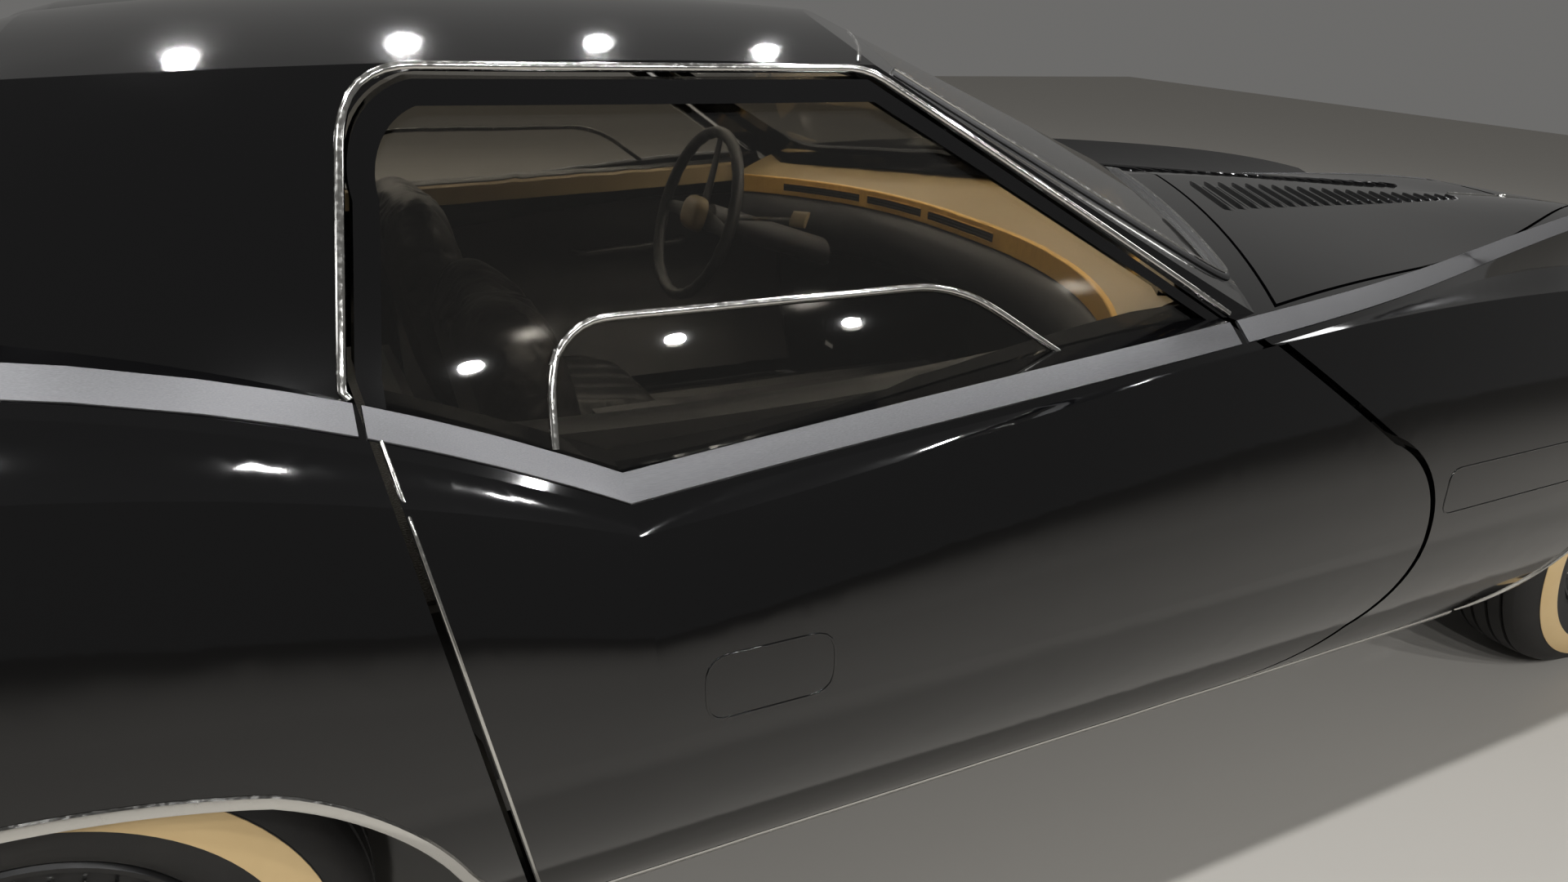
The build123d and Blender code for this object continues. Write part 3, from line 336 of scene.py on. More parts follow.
def rounded(corners, radii, step=0.012):
    """Line through corners, each inner one turned in a parabola that starts its radius away:
    (1-t)^2 a + 2 t (1-t) corner + t^2 b."""
    corners = np.asarray(corners, float)
    line = [corners[:1]]
    t = np.linspace(0, 1, 9)[:, None]
    for before, corner, after, radius in zip(corners, corners[1:], corners[2:], radii):
        a = corner + (before - corner) * radius / np.linalg.norm(before - corner)
        b = corner + (after - corner) * radius / np.linalg.norm(after - corner)
        line.append((1 - t) ** 2 * a + 2 * t * (1 - t) * corner + t**2 * b)
    return evened(np.concatenate(line + [corners[-1:]]), step)


def faces_of(*names):
    """Search tree over the faces of CAD nodes."""
    points, faces = [], []
    for name in names:
        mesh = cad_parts[name].data
        faces += [[len(points) + i for i in face.vertices] for face in mesh.polygons]
        points += [vertex.co for vertex in mesh.vertices]
    return BVHTree.FromPolygons(points, faces)


def seated(line, toward, *names):
    """Points of a line moved toward the named nodes until they touch, and the face normals
    there, each averaged with its neighbours. Past the nodes' edge the line runs straight on."""
    tree, toward = faces_of(*names), Vector(toward).normalized()
    found = []
    for point in line:
        spot, normal = tree.ray_cast(Vector(point) - toward * 0.5, toward)[:2]
        if spot is None and len(found) > 1:
            found.append(2 * found[-1] - found[-2])
            continue
        if spot is None:
            spot, normal = tree.find_nearest(Vector(point))[:2]
        found.append(np.array((*spot, *(normal if normal.dot(toward) < 0 else -normal))))
    found = np.array(found)
    normals = np.pad(found[:, 3:], ((1, 1), (0, 0)), "edge")
    normals = normals[:-2] + 2 * normals[1:-1] + normals[2:]
    return found[:, :3], normals / np.linalg.norm(normals, axis=1, keepdims=True)


def side_view(line, w=1.0):
    """(forward, z) points as places at half width w on the car's left side."""
    return np.stack([line[:, 0] + REAR_AXLE, np.full(len(line), w), line[:, 1]], 1)


def half_round(width, height, seat=0.002, count=9):
    """Bar section: height * sin(a) over width * cos(a) / 2, standing seat deep in the panel."""
    a = np.linspace(0, math.pi, count)
    dome = np.stack([-np.cos(a) * width / 2, np.sin(a) * height], 1)
    return np.concatenate([[[-width / 2, -seat]], dome, [[width / 2, -seat], [-width / 2, -seat]]])


bright_trim = patterned(
    "polished_stainless_trim", ("ShaderNodeTexNoise", {"Scale": 160.0, "Detail": 5.0}), "Fac",
    {"Base Color": linear("#c9c8c4"), "Metallic": 1.0},
    {"From Min": 0.4, "From Max": 0.75, "To Min": 0.08, "To Max": 0.3},
    {"Strength": 0.06, "Distance": 0.0003},
)


def both_sides(name, grids, finish, bodies, crease=40.0):
    """The left piece and its mirror image on the right."""
    piece(f"{name}_left", grids, finish, bodies[0], crease)
    piece(f"{name}_right", [other_side(grid) for grid in grids], finish, bodies[-1], crease)


ARCH = np.concatenate([
    [(-0.530, 0.265)], arc((-0.422, 0.470), (-0.352, 0.580), (-0.255, 0.648), 12),
    arc((-0.255, 0.648), (0.0, 0.686), (0.255, 0.648), 24)[1:],
    arc((0.255, 0.648), (0.352, 0.580), (0.422, 0.470), 12)[1:], [(0.530, 0.265)],
])
# lip section: a face 16 mm wide, domed 4 mm, that rolls 14 mm in under the panel's edge
LIP = [
    (-0.003, -0.014), (-0.004, 0.0), (-0.002, 0.003), (0.004, 0.0042), (0.010, 0.003), (0.012, -0.002),
    (-0.001, -0.002), (-0.001, -0.014), (-0.003, -0.014),
]
for name, axle, nodes in (
    ("arch_lip_rear", 0.0, ("quarter_left", "sill_left")),
    ("arch_lip_front", WHEELBASE, ("fender_left", "sill_left")),
):
    outline = evened(ARCH, 0.02)
    normal = np.gradient(outline, axis=0)[:, ::-1] * (-1, 1)
    outline = outline + 0.004 * normal / np.linalg.norm(normal, axis=1, keepdims=True)
    line, out = seated(side_view(outline + (axle, 0)), (0, -1, 0), *nodes)
    both_sides(name, [bar(line, out, LIP)], bright_trim, ["car"])

rocker = rounded([(0.60, 0.272), (1.5, 0.272), (2.365, 0.272)], [0.1], 0.03)
line, out = seated(side_view(rocker), (0, -1, 0), "sill_left")
both_sides("rocker_moulding", [bar(line, out, half_round(0.036, 0.006))], bright_trim, ["car"])

# door guard: a straight line 3 mm inside the door's rear edge, from the shoulder to the sill
GUARD = np.array([(0.4017, 0.952), (0.5300, 0.318)])
guard = evened(GUARD, 0.02)
line, out = seated(side_view(guard), (0, -1, 0), "door_left")
both_sides("door_edge_guard", [bar(line, out, half_round(0.0045, 0.0022))], bright_trim, DOORS)

# Flush flaps: a long one low on the fender and the door's flush handle, each a fine
# raised line with rounded corners, sprayed over with the body.


def rounded_box(low, high, z_low, z_high, radius, step):
    """Closed line round a rectangle with rounded corners, from the middle of its foot."""
    middle = (low + high) / 2
    corners = [(middle, z_low), (high, z_low), (high, z_high), (low, z_high), (low, z_low), (middle, z_low)]
    return rounded(corners, [radius] * 4, step)


def side_frame(forward_low, forward_high, z_low, z_high, radius):
    """Rounded rectangle in side view, as a closed line of (forward, z) places."""
    return side_view(rounded_box(forward_low, forward_high, z_low, z_high, radius, 0.01))


for name, outline, node, bodies in (
    ("fender_flap", side_frame(1.990, 2.420, 0.630, 0.710, 0.022), "fender_left", ["car"]),
    ("handle_flap", side_frame(0.700, 0.864, 0.611, 0.692, 0.030), "door_left", DOORS),
):
    line, out = seated(outline, (0, -1, 0), node)
    both_sides(name, [bar(line, out, half_round(0.003, 0.0012))], lacquer, bodies)

# Window beads: the same stainless strip round the roof's window opening and along the
# header, and a wide soft gasket of black rubber with a bright insert round the windshield.
SIDE_OPENING = [
    (0.3735, 0.975), (0.3745, 1.0), (0.400, 1.16), (0.4225, 1.2855), (1.066, 1.2855), (1.590, 0.962),
]
opening = rounded(SIDE_OPENING, [0.02, 0.05, 0.075, 0.03], 0.016)
line, out = seated(side_view(opening), (0, -1, 0), "roof_shell")
both_sides("window_bead", [bar(line, out, half_round(0.011, 0.0055))], bright_trim, ["car"])

black_rubber = grained(
    "moulded_black_rubber", "#0b0b0c", "#1a1a1a", {"Scale": 30.0, "Detail": 5.0},
    {"Roughness": 0.5, "IOR": 1.52}, ("ShaderNodeTexNoise", {"Scale": 700.0, "Detail": 2.0}),
    {"Strength": 0.2, "Distance": 0.0003},
)

GLASS_BASE = np.array([(2.190, 0.0), (1.985, 0.340), (1.650, 0.770)])
GLASS_HEADER = np.array([(1.400, 0.0), (1.243, 0.305), (1.060, 0.630)])


def glass_face(across, up):
    """Windshield face: parabolas through the base and header points, across from the centre
    (0) to the corner (1), joined by straight lines, up from z 0.985 (0) to z 1.300 (1)."""
    t = np.asarray(across, float)[:, None]
    m = 0.44
    weights = ((t - m) * (t - 1) / m, t * (t - 1) / (m * (m - 1)), t * (t - m) / (1 - m))
    low = sum(w * p for w, p in zip(weights, GLASS_BASE))
    high = sum(w * p for w, p in zip(weights, GLASS_HEADER))
    up = np.asarray(up, float)[:, None]
    plan = low + up * (high - low)
    return np.stack([plan[:, 0] + REAR_AXLE, plan[:, 1], 0.985 + 0.315 * up[:, 0]], 1)


across = np.linspace(0, 0.955, 34)
foot = glass_face(across, (1.0125 - 0.040 * across**2 - 0.985) / 0.315)
pillar = glass_face(np.full(24, 0.972), np.linspace(0.06, 0.93, 24))
header = glass_face(np.linspace(0.985, 0, 28), np.full(28, 1.005))
gasket = evened(np.concatenate([foot, pillar]), 0.02)
for turn in range(8):
    gasket[1:-1] = 0.25 * gasket[:-2] + 0.5 * gasket[1:-1] + 0.25 * gasket[2:]
tree = faces_of("windshield", "roof_shell")
out = np.array([tree.find_nearest(Vector(p))[1] for p in gasket])
out *= np.sign(out @ np.array([0.7, 0.2, 0.7]))[:, None]
out[:, 1] += 0.15
for turn in range(6):
    out[1:-1] = 0.25 * out[:-2] + 0.5 * out[1:-1] + 0.25 * out[2:]
GASKET = [
    (-0.012, -0.004), (-0.012, 0.003), (-0.008, 0.0065), (-0.003, 0.0075), (0.003, 0.0075), (0.008, 0.0065),
    (0.012, 0.003), (0.012, -0.004), (-0.012, -0.004),
]
INSERT = [(-0.0035, 0.0), (-0.003, 0.009), (0.0, 0.0102), (0.003, 0.009), (0.0035, 0.0), (-0.0035, 0.0)]
for name, section, finish in (
    ("windshield_gasket", GASKET, black_rubber), ("windshield_insert", INSERT, bright_trim),
):
    both_sides(name, [bar(gasket, out, section)], finish, ["car"])

line, out = seated(header, (0, 0, -1), "roof_shell", "windshield")
both_sides("header_bead", [bar(line, out, half_round(0.006, 0.002))], bright_trim, ["car"])

# Glass: laminated, polished and tinted bronze, with its shadow left light. A bright channel,
# clipped to the door glass, frames the small pane that drops for tickets.
tinted_glass = new_finish("bronze_tinted_glass")
glass = add(
    tinted_glass,
    "ShaderNodeBsdfPrincipled",
    {"Base Color": linear("#cdc9c1"), "Roughness": 0.02, "IOR": 1.5, "Transmission Weight": 1.0},
)
clear = add(tinted_glass, "ShaderNodeBsdfTransparent", {"Color": linear("#cdc9c1")})
rays = add(tinted_glass, "ShaderNodeLightPath")
mixed = add(
    tinted_glass,
    "ShaderNodeMixShader",
    {},
    [(0, rays.outputs["Is Shadow Ray"]), (1, glass.outputs[0]), (2, clear.outputs[0])],
)
add(tinted_glass, "ShaderNodeOutputMaterial", {}, [("Surface", mixed.outputs[0])])
dress(tinted_glass, "windshield", "backlight", "door_glass_left", "door_glass_right")

DROP_PANE = [(0.578, 0.910), (0.585, 0.985), (0.612, 1.034), (1.130, 1.034), (1.312, 0.914)]
channel = rounded(DROP_PANE, [0.03, 0.05, 0.07], 0.014)
line, out = seated(side_view(channel), (0, -1, 0), "door_glass_left")
both_sides("drop_pane_channel", [bar(line, out, half_round(0.010, 0.005))], bright_trim, DOORS)

# Hood: two rows of pressed louvres, swept back from the ridge, and a bright spear on the nose.
# Each louvre is a shallow ramp with a rounded inner end and an open rear edge.
LOUVRES, LOUVRE_PITCH = 22, 0.0455
louvre_grids = []
blade = np.array([
    (-0.012, -0.003), (-0.011, 0.0), (-0.004, 0.002), (0.004, 0.0046), (0.0085, 0.0058), (0.0105, 0.005),
    (0.0105, -0.003), (-0.012, -0.003),
])
for number in range(LOUVRES):
    share = number / (LOUVRES - 1)
    forward = 2.285 + number * LOUVRE_PITCH
    inner, outer = 0.074, 0.335 - 0.215 * share
    t = np.linspace(0, 1, 13)
    w = inner + (outer - inner) * t
    line = np.stack([forward - 0.56 * (w - inner) + REAR_AXLE, w, np.full(13, 1.1)], 1)
    line, out = seated(line, (0, 0, -1), "hood")
    swell = np.sqrt(np.clip(1 - (2 * t - 1) ** 8, 0, 1)) * 0.98 + 0.02
    section = blade[None] * np.stack([np.ones(13) * 0.5 + 0.5 * swell, swell], 1)[:, None]
    heading = along(line)
    side = np.cross(heading, out)
    grid = line[:, None] - side[:, None] * section[:, :, :1] + out[:, None] * section[:, :, 1:]
    louvre_grids.append(capped(grid))
louvre_grids += [other_side(grid) for grid in louvre_grids]
piece("hood_louvres", louvre_grids, lacquer, "hood", 50.0)

ridge = np.stack([np.linspace(3.355, 3.585, 12) + REAR_AXLE, np.zeros(12), np.full(12, 1.1)], 1)
line, out = seated(ridge, (0, 0, -1), "hood")
out[:, 1] = 0
piece("ridge_strip", [bar(line, out, half_round(0.008, 0.004))], bright_trim, "hood")

# Dashboard: a tan vinyl shelf that sweeps back from the glass, a brushed bronze band round its
# edge with three air outlets, and a padded black roll below, all on a pressed steel frame.
DASH_END_W = 0.725


def dash_edge(w):
    """Plan of the band: forward = 1.705 - 0.215 |w / 0.725|^2.6."""
    return 1.705 - 0.215 * np.abs(w / DASH_END_W) ** 2.6


def dash_height(w):
    """Top of the band: it drops 20 mm from the middle to the ends as (w / 0.725)^2."""
    return 0.935 - 0.020 * (w / DASH_END_W) ** 2


def dash_path(w, drop=0.0):
    """Places along the band's top edge, lowered by drop."""
    return np.stack([dash_edge(w) + REAR_AXLE, w, dash_height(w) - drop], 1)


tan_vinyl = grained(
    "grained_tan_vinyl", "#66563a", "#7b6948", {"Scale": 4.0, "Detail": 4.0},
    {"Roughness": 0.5, "IOR": 1.5}, ("ShaderNodeTexVoronoi", {"Scale": 420.0, "Randomness": 1.0}),
    {"Strength": 0.3, "Distance": 0.0004},
)

bronze = brushed(
    "brushed_bronze_anodised_aluminium", (60.0, 2.0, 2.0), 16.0, "#a37c3e", "#cfa559", {"Metallic": 0.45},
)

black_vinyl = grained(
    "grained_black_vinyl", "#0c0c0d", "#19181a", {"Scale": 5.0, "Detail": 4.0},
    {"Roughness": 0.48, "IOR": 1.5}, ("ShaderNodeTexVoronoi", {"Scale": 380.0, "Randomness": 1.0}),
    {"Strength": 0.35, "Distance": 0.0004},
)

UPWARD = np.array([0.0, 0.0, 1.0])
w = np.linspace(-DASH_END_W, DASH_END_W, 61)
rear_edge = dash_path(w)
foot = glass_face(np.abs(np.linspace(-1, 1, 61)), np.full(61, -0.035)) - (0.020, 0, 0)
front_edge = foot * np.stack([np.ones(61), np.sign(w), np.ones(61)], 1)
front_edge[:, 1] *= 0.965
shelf_rows = [
    rear_edge + (front_edge - rear_edge) * t + 0.006 * math.sin(math.pi * t) * UPWARD
    for t in np.linspace(0, 1, 9)
]
shelf_rows += [row - (0, 0, 0.010) for row in reversed(shelf_rows)] + shelf_rows[:1]
dash_shelf = piece("dash_shelf", [capped(np.stack(shelf_rows, 1))], tan_vinyl, "car")

BAND_FACE = [
    (-0.004, 0.002), (-0.0055, 0.0), (-0.0055, -0.040), (-0.004, -0.042), (0.006, -0.042), (0.006, 0.002),
    (-0.004, 0.002),
]
piece("dash_band", [bar(dash_path(w), UPWARD, BAND_FACE)], bronze, "car", 30.0)
LOWER_ROLL = [
    (0.000, -0.043), (-0.012, -0.052), (-0.026, -0.075), (-0.034, -0.105), (-0.030, -0.135), (-0.012, -0.160),
    (0.020, -0.176), (0.060, -0.184), (0.150, -0.184), (0.150, -0.043), (0.000, -0.043),
]
piece("dash_roll", [bar(dash_path(w), UPWARD, LOWER_ROLL)], black_vinyl, "car")
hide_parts("dashboard")

OUTLETS = ((0.600, 0.372), (0.345, 0.150), (0.122, -0.122))
SLOT_FACE = [(-0.0062, -0.012), (-0.0062, -0.030), (0.0, -0.030), (0.0, -0.012), (-0.0062, -0.012)]
for number, (start, end) in enumerate(OUTLETS):
    reach = np.linspace(end, start, 15)
    outlet = bar(dash_path(reach), UPWARD, SLOT_FACE)
    piece(f"air_outlet_{number}", [outlet], black_rubber, "car", 20.0)
    for part, levels, finish in (
        ("vanes", (-0.0175, -0.0245), black_rubber), ("frame", (-0.0105, -0.0302), bronze),
    ):
        bars = []
        for top in levels:
            foot = top - 0.0016
            thin = [(-0.0078, top), (-0.0078, foot), (-0.003, foot), (-0.003, top), (-0.0078, top)]
            bars.append(bar(dash_path(reach), UPWARD, thin))
        piece(f"outlet_{part}_{number}", bars, finish, "car", 20.0)

# Steering wheel: a rim and three flat spokes in black vinyl over steel, and a tan pad that is
# left bare. The wheel leans forward at its foot, square to the column.
LEAN = math.radians(18.0)
WHEEL_MIDDLE = np.array([-0.045, 0.380, 0.890])
shaft = np.array([math.cos(LEAN), 0.0, -math.sin(LEAN)])
across_wheel = np.array([0.0, 1.0, 0.0])
up_wheel = np.cross(shaft, across_wheel) * -1


def on_wheel(radius, angle, depth):
    """Place on the wheel: radius at an angle from the car's left, depth toward the column."""
    radius, angle, depth = np.broadcast_arrays(radius, angle, depth)
    return (
        WHEEL_MIDDLE + (radius * np.cos(angle))[..., None] * across_wheel
        + (radius * np.sin(angle))[..., None] * up_wheel + depth[..., None] * shaft
    )


u, v = np.meshgrid(np.linspace(0, 2 * math.pi, 97), np.linspace(0, 2 * math.pi, 21), indexing="ij")
grip = 0.0132 + 0.0009 * np.cos(24 * u) * (np.cos(v - math.pi) > -0.2)
hoop = on_wheel(0.188 + grip * np.cos(v), u, grip * np.sin(v))
rim = piece("steering_rim", [hoop], black_vinyl, "steering_wheel")
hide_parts("steering_wheel")
spokes = []
for angle in (0.06, math.pi - 0.06, -math.pi / 2):
    t = np.linspace(0.03, 0.182, 12)[:, None]
    half = 0.021 - 0.055 * (t - 0.03)
    section = np.linspace(0, 2 * math.pi, 13)[None]
    bow = 0.012 - 0.010 * ((t - 0.03) / 0.152) ** 2
    aside = half * np.cos(section)
    turned_by = angle + np.arctan2(aside, t)
    spokes.append(capped(on_wheel(np.hypot(t, aside), turned_by, bow + 0.0035 * np.sin(section))))
piece("steering_spokes", spokes, black_vinyl, "steering_wheel")
t, a = np.meshgrid(np.linspace(0, 1, 14), np.linspace(0, 2 * math.pi, 49), indexing="ij")
pad_shape = (np.abs(np.cos(a)) ** 3.2 / 0.050**3.2 + np.abs(np.sin(a)) ** 3.2 / 0.040**3.2) ** (-1 / 3.2)
pad_dome = -0.026 + 0.030 * (1 - np.cos(t * math.pi / 2)) ** 1.4
pad_face = on_wheel(pad_shape * np.sin(t * math.pi / 2) ** 0.8, a, pad_dome)
pad_back = on_wheel(pad_shape * (1 - t), a, 0.004 + 0.022 * t)
piece("steering_pad", [np.concatenate([pad_face, pad_back[1:]])], tan_vinyl, "steering_wheel")

# Column stalk: a slim plated rod, screwed into the column under the wheel, with a flat
# paddle of moulded tan vinyl pushed on its tip.
stalk = evened(np.array([(0.045, 0.350, 0.880), (0.060, 0.230, 0.902), (0.072, 0.125, 0.920)]), 0.01)
piece("column_stalk", [bar(stalk, UPWARD, half_round(0.009, 0.0045, 0.0045))], bright_trim, "car")
paddle = evened(np.array([(0.072, 0.128, 0.922), (0.078, 0.072, 0.930)]), 0.01)
tip = bar(paddle, np.array([-0.9, 0.0, 0.4]), half_round(0.034, 0.004, 0.003))
piece("stalk_paddle", [tip], tan_vinyl, "car")
dress(black_vinyl, "console", "steering_column")

# Seats: foam buckets in black leather, each a pedestal, a pleated cushion and a back.
# The foam is swelled by a short cloth run; the pleats are pressed in after it.
black_leather = grained(
    "pleated_black_leather", "#0e0e0f", "#1f1d1d", {"Scale": 12.0, "Detail": 8.0},
    {"Roughness": 0.42, "IOR": 1.48}, ("ShaderNodeTexVoronoi", {"Scale": 300.0, "Randomness": 1.0}),
    {"Strength": 0.3, "Distance": 0.0005},
)


def pillow(middle, half, turn, round_power=5.0):
    """Rounded block: |x/a|^p + |y/b|^p + |z/c|^p = 1, tipped back by turn about the y axis."""
    a, b = np.meshgrid(
        np.linspace(-math.pi / 2, math.pi / 2, 41), np.linspace(0, 2 * math.pi, 73), indexing="ij"
    )
    ray = np.stack([np.cos(a) * np.cos(b), np.cos(a) * np.sin(b), np.sin(a)], 2)
    size = (np.abs(ray / half) ** round_power).sum(2) ** (-1 / round_power)
    block = ray * size[..., None]
    tip = np.array([[math.cos(turn), 0, math.sin(turn)], [0, 1, 0], [-math.sin(turn), 0, math.cos(turn)]])
    return block @ tip.T + middle


def swelled(made, cap):
    """Foam under its cover: remeshed, blown up a little by a cloth run, and held within cap
    of where each point began."""
    scene = bpy.context.scene
    bpy.context.view_layer.objects.active = made
    made.data.remesh_voxel_size = 0.006
    with bpy.context.temp_override(active_object=made, object=made, selected_objects=[made]):
        bpy.ops.object.voxel_remesh()
    count = len(made.data.vertices)
    start = np.empty(count * 3)
    made.data.vertices.foreach_get("co", start)
    cloth = made.modifiers.new("foam", "CLOTH")
    cloth.settings.use_pressure = True
    cloth.settings.uniform_pressure_force = 4.0
    cloth.settings.quality = 4
    cloth.settings.effector_weights.gravity = 0.0
    for number in range(1, 21):
        scene.frame_set(number)
    moved = made.evaluated_get(bpy.context.evaluated_depsgraph_get()).to_mesh()
    end = np.empty(count * 3)
    moved.vertices.foreach_get("co", end)
    made.modifiers.remove(cloth)
    scene.frame_set(1)
    step = (end - start).reshape(-1, 3)
    length = np.linalg.norm(step, axis=1, keepdims=True)
    step *= np.minimum(1, cap / np.maximum(length, 1e-9))
    made.data.vertices.foreach_set("co", (start.reshape(-1, 3) + step).ravel())
    made.data.update()


def pleated(made, middle, half_w, axis, depth=0.007, count=5):
    """Pleats: the face is pressed in by depth * exp(-(distance to a seam / 9 mm)^2) along axis,
    most on the side that axis points to, at seams spread over 62% of the width."""
    count_points = len(made.data.vertices)
    spots = np.empty(count_points * 3)
    made.data.vertices.foreach_get("co", spots)
    spots = spots.reshape(-1, 3)
    axis = np.asarray(axis, float)
    rise = (spots - middle) @ axis
    front = np.clip(rise / max(rise.max(), 1e-6), 0, 1) ** 0.5
    for seam in np.linspace(-0.62, 0.62, count) * half_w:
        gap = spots[:, 1] - middle[1] - seam
        spots -= axis * (depth * front * np.exp(-((gap / 0.009) ** 2)))[:, None]
    made.data.vertices.foreach_set("co", spots.ravel())
    made.data.update()


SEAT_MIDDLE_W = 0.385
CUSHION = (np.array([-0.395, SEAT_MIDDLE_W, 0.462]), np.array([0.244, 0.230, 0.052]), math.radians(6))
BACK = (np.array([-0.640, SEAT_MIDDLE_W, 0.745]), np.array([0.045, 0.226, 0.248]), math.radians(-12))
PEDESTAL = (np.array([-0.400, SEAT_MIDDLE_W, 0.362]), np.array([0.225, 0.200, 0.0395]), 0.0)
for hand, side in (("left", 1), ("right", -1)):
    base = pillow(*PEDESTAL, 9.0) * np.array([1, side, 1])
    pedestal = piece(f"seat_pedestal_{hand}", [base], black_vinyl, "car")
    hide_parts(f"seat_{hand}")
for name, (middle, half, turn), press in (
    ("seat_cushion", CUSHION, (0.1, 0, 1)), ("seat_back", BACK, (1, 0, 0.2)),
):
    left = piece(f"{name}_left", [pillow(middle, half, turn)], black_leather, "car", 60.0)
    swelled(left, 0.022)
    pleated(left, middle, half[1], np.array(press) / np.linalg.norm(press))
    left.data.shade_smooth()
    mesh = left.data.copy()
    mesh.name = f"{name}_right"
    mesh.transform(Matrix.Diagonal((1, -1, 1, 1)))
    mesh.flip_normals()
    right_one = bpy.data.objects.new(f"{name}_right", mesh)
    bpy.context.scene.collection.objects.link(right_one)
    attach(right_one, "car")

# Cabin floor and doors: dark loop carpet laid on the steel floor, and ribbed vinyl panels
# clipped to the doors, each with a pull strap, a padded tan top rail and a black cover over the rail's top
# that paints shade on it.
carpet = new_finish("dark_loop_carpet")
place = add(carpet, "ShaderNodeTexCoord").outputs["Object"]
loops = add(carpet, "ShaderNodeTexVoronoi", {"Scale": 240.0, "Randomness": 0.8}, [("Vector", place)])
tone = add(
    carpet,
    "ShaderNodeMix",
    {"data_type": "RGBA", "A": linear("#100f0e"), "B": linear("#2a2622")},
    [("Factor", loops.outputs["Distance"])],
)
relief = add(
    carpet, "ShaderNodeBump", {"Strength": 0.8, "Distance": 0.002}, [("Height", loops.outputs["Distance"])]
)
coat = add(
    carpet,
    "ShaderNodeBsdfPrincipled",
    {"Roughness": 0.95, "Sheen Weight": 0.3},
    [("Base Color", tone.outputs[2]), ("Normal", relief.outputs[0])],
)
add(carpet, "ShaderNodeOutputMaterial", {}, [("Surface", coat.outputs[0])])
front_mat = rounded([(-0.690, 0.3235), (0.30, 0.3235), (0.86, 0.3235)], [0.1], 0.05)
mat_line = np.stack([front_mat[:, 0], np.full(len(front_mat), 0.42), front_mat[:, 1]], 1)


def mat(half, thick):
    """Carpet section: half its width each side, with edges that fall off by 2 mm."""
    return [
        (-half, -0.003), (-half, thick - 0.002), (0.01 - half, thick), (half - 0.01, thick),
        (half, thick - 0.002), (half, -0.003), (-half, -0.003),
    ]


both_sides("floor_carpet", [bar(mat_line, UPWARD, mat(0.30, 0.005))], carpet, ["car"])
rear_shelf = np.array([(-1.355, 0.0, 0.5835), (-1.0, 0.0, 0.5835), (-0.735, 0.0, 0.5835)])
rear_mat = bar(evened(rear_shelf, 0.06), UPWARD, mat(0.58, 0.006))
piece("rear_carpet", [rear_mat], carpet, "car")

# height and half width of a line inside the lining, about 12 mm behind its ribbed face
LINING_W = [
    (0.36, 0.796), (0.45, 0.852), (0.54, 0.896), (0.62, 0.916), (0.70, 0.905), (0.78, 0.892), (0.835, 0.880),
]
lining_z, lining_w = np.array(LINING_W).T
x, z = np.meshgrid(np.linspace(-0.66, 0.42, 37), np.linspace(0.36, 0.835, 21), indexing="ij")
face_w = np.interp(z, lining_z, lining_w) - 0.012 - 0.004 * np.cos((z - 0.60) / 0.235 * math.pi * 3)
face = np.stack([x, face_w, z], 2)
back = np.stack([x, np.interp(z, lining_z, lining_w) + 0.010, z], 2)
edge = np.concatenate([face, back[:, ::-1], face[:, :1]], 1)
both_sides("door_lining", [capped(edge)], black_vinyl, DOORS)
rail = np.linspace(0.47, 1.52, 36)
# the rail bows in towards its ends and rises 40 mm to the front, both as a square
rail_w = 0.806 - 0.035 * ((rail - 1.0) / 0.5) ** 2
rail_line = np.stack([rail + REAR_AXLE, rail_w, 0.902 + 0.040 * ((rail - 0.47) / 1.05) ** 2], 1)
RAIL = [
    (-0.026, -0.045), (-0.026, -0.004), (-0.018, 0.004), (0.0, 0.007), (0.018, 0.004), (0.026, -0.004),
    (0.026, -0.045), (-0.026, -0.045),
]
both_sides("door_top_rail", [bar(rail_line, UPWARD, RAIL)], tan_vinyl, DOORS)
# painted shade: black rubber between rail and glass covers the rail's top out to the glass, dark where the
# rail lies in shade
RAIL_PAINTED_SHADE = [
    (-0.028, -0.020), (-0.028, 0.004), (-0.012, 0.0100), (0.010, 0.0095), (0.020, 0.0050), (0.020, 0.001),
    (-0.028, -0.020),
]
# a black piece that stands in for the shade on the rail's top
both_sides("rail_painted_shade", [bar(rail_line, UPWARD, RAIL_PAINTED_SHADE)], black_rubber, DOORS)
PULL = [(-0.20, 0.872, 0.70), (-0.19, 0.842, 0.70), (0.10, 0.842, 0.72), (0.11, 0.868, 0.72)]
pull = rounded(PULL, [0.02, 0.02], 0.01)
strap = bar(pull, UPWARD, half_round(0.020, 0.007, 0.007))
both_sides("door_pull", [strap], black_vinyl, DOORS)

# Rear wheel housings: pressed steel tubs over the rear wheels, sprayed with chassis enamel.
# The roof follows the arch 30 mm outside its edge, and an inner wall closes it to the boot.
HOUSING_W_IN, HOUSING_FOOT = 0.612, 0.36
outline = evened(ARCH, 0.03)
outline = outline[outline[:, 1] > HOUSING_FOOT]
outline = (outline - (0, WHEEL_CENTRE_Z)) * 1.08 + (0, WHEEL_CENTRE_Z)
skin = seated(side_view(outline), (0, -1, 0), "quarter_left", "sill_left")[0]
roof = [skin - (0, 0.010, 0), side_view(outline, 0.74), side_view(outline, HOUSING_W_IN + 0.02)]
foot = np.array([0, HOUSING_FOOT])
wall = [side_view(foot + (outline - foot) * share, HOUSING_W_IN) for share in (0.97, 0.6, 0.2, 0.0)]
both_sides("wheel_housing", [np.stack(roof + wall, 1)], chassis_enamel, ["car"])

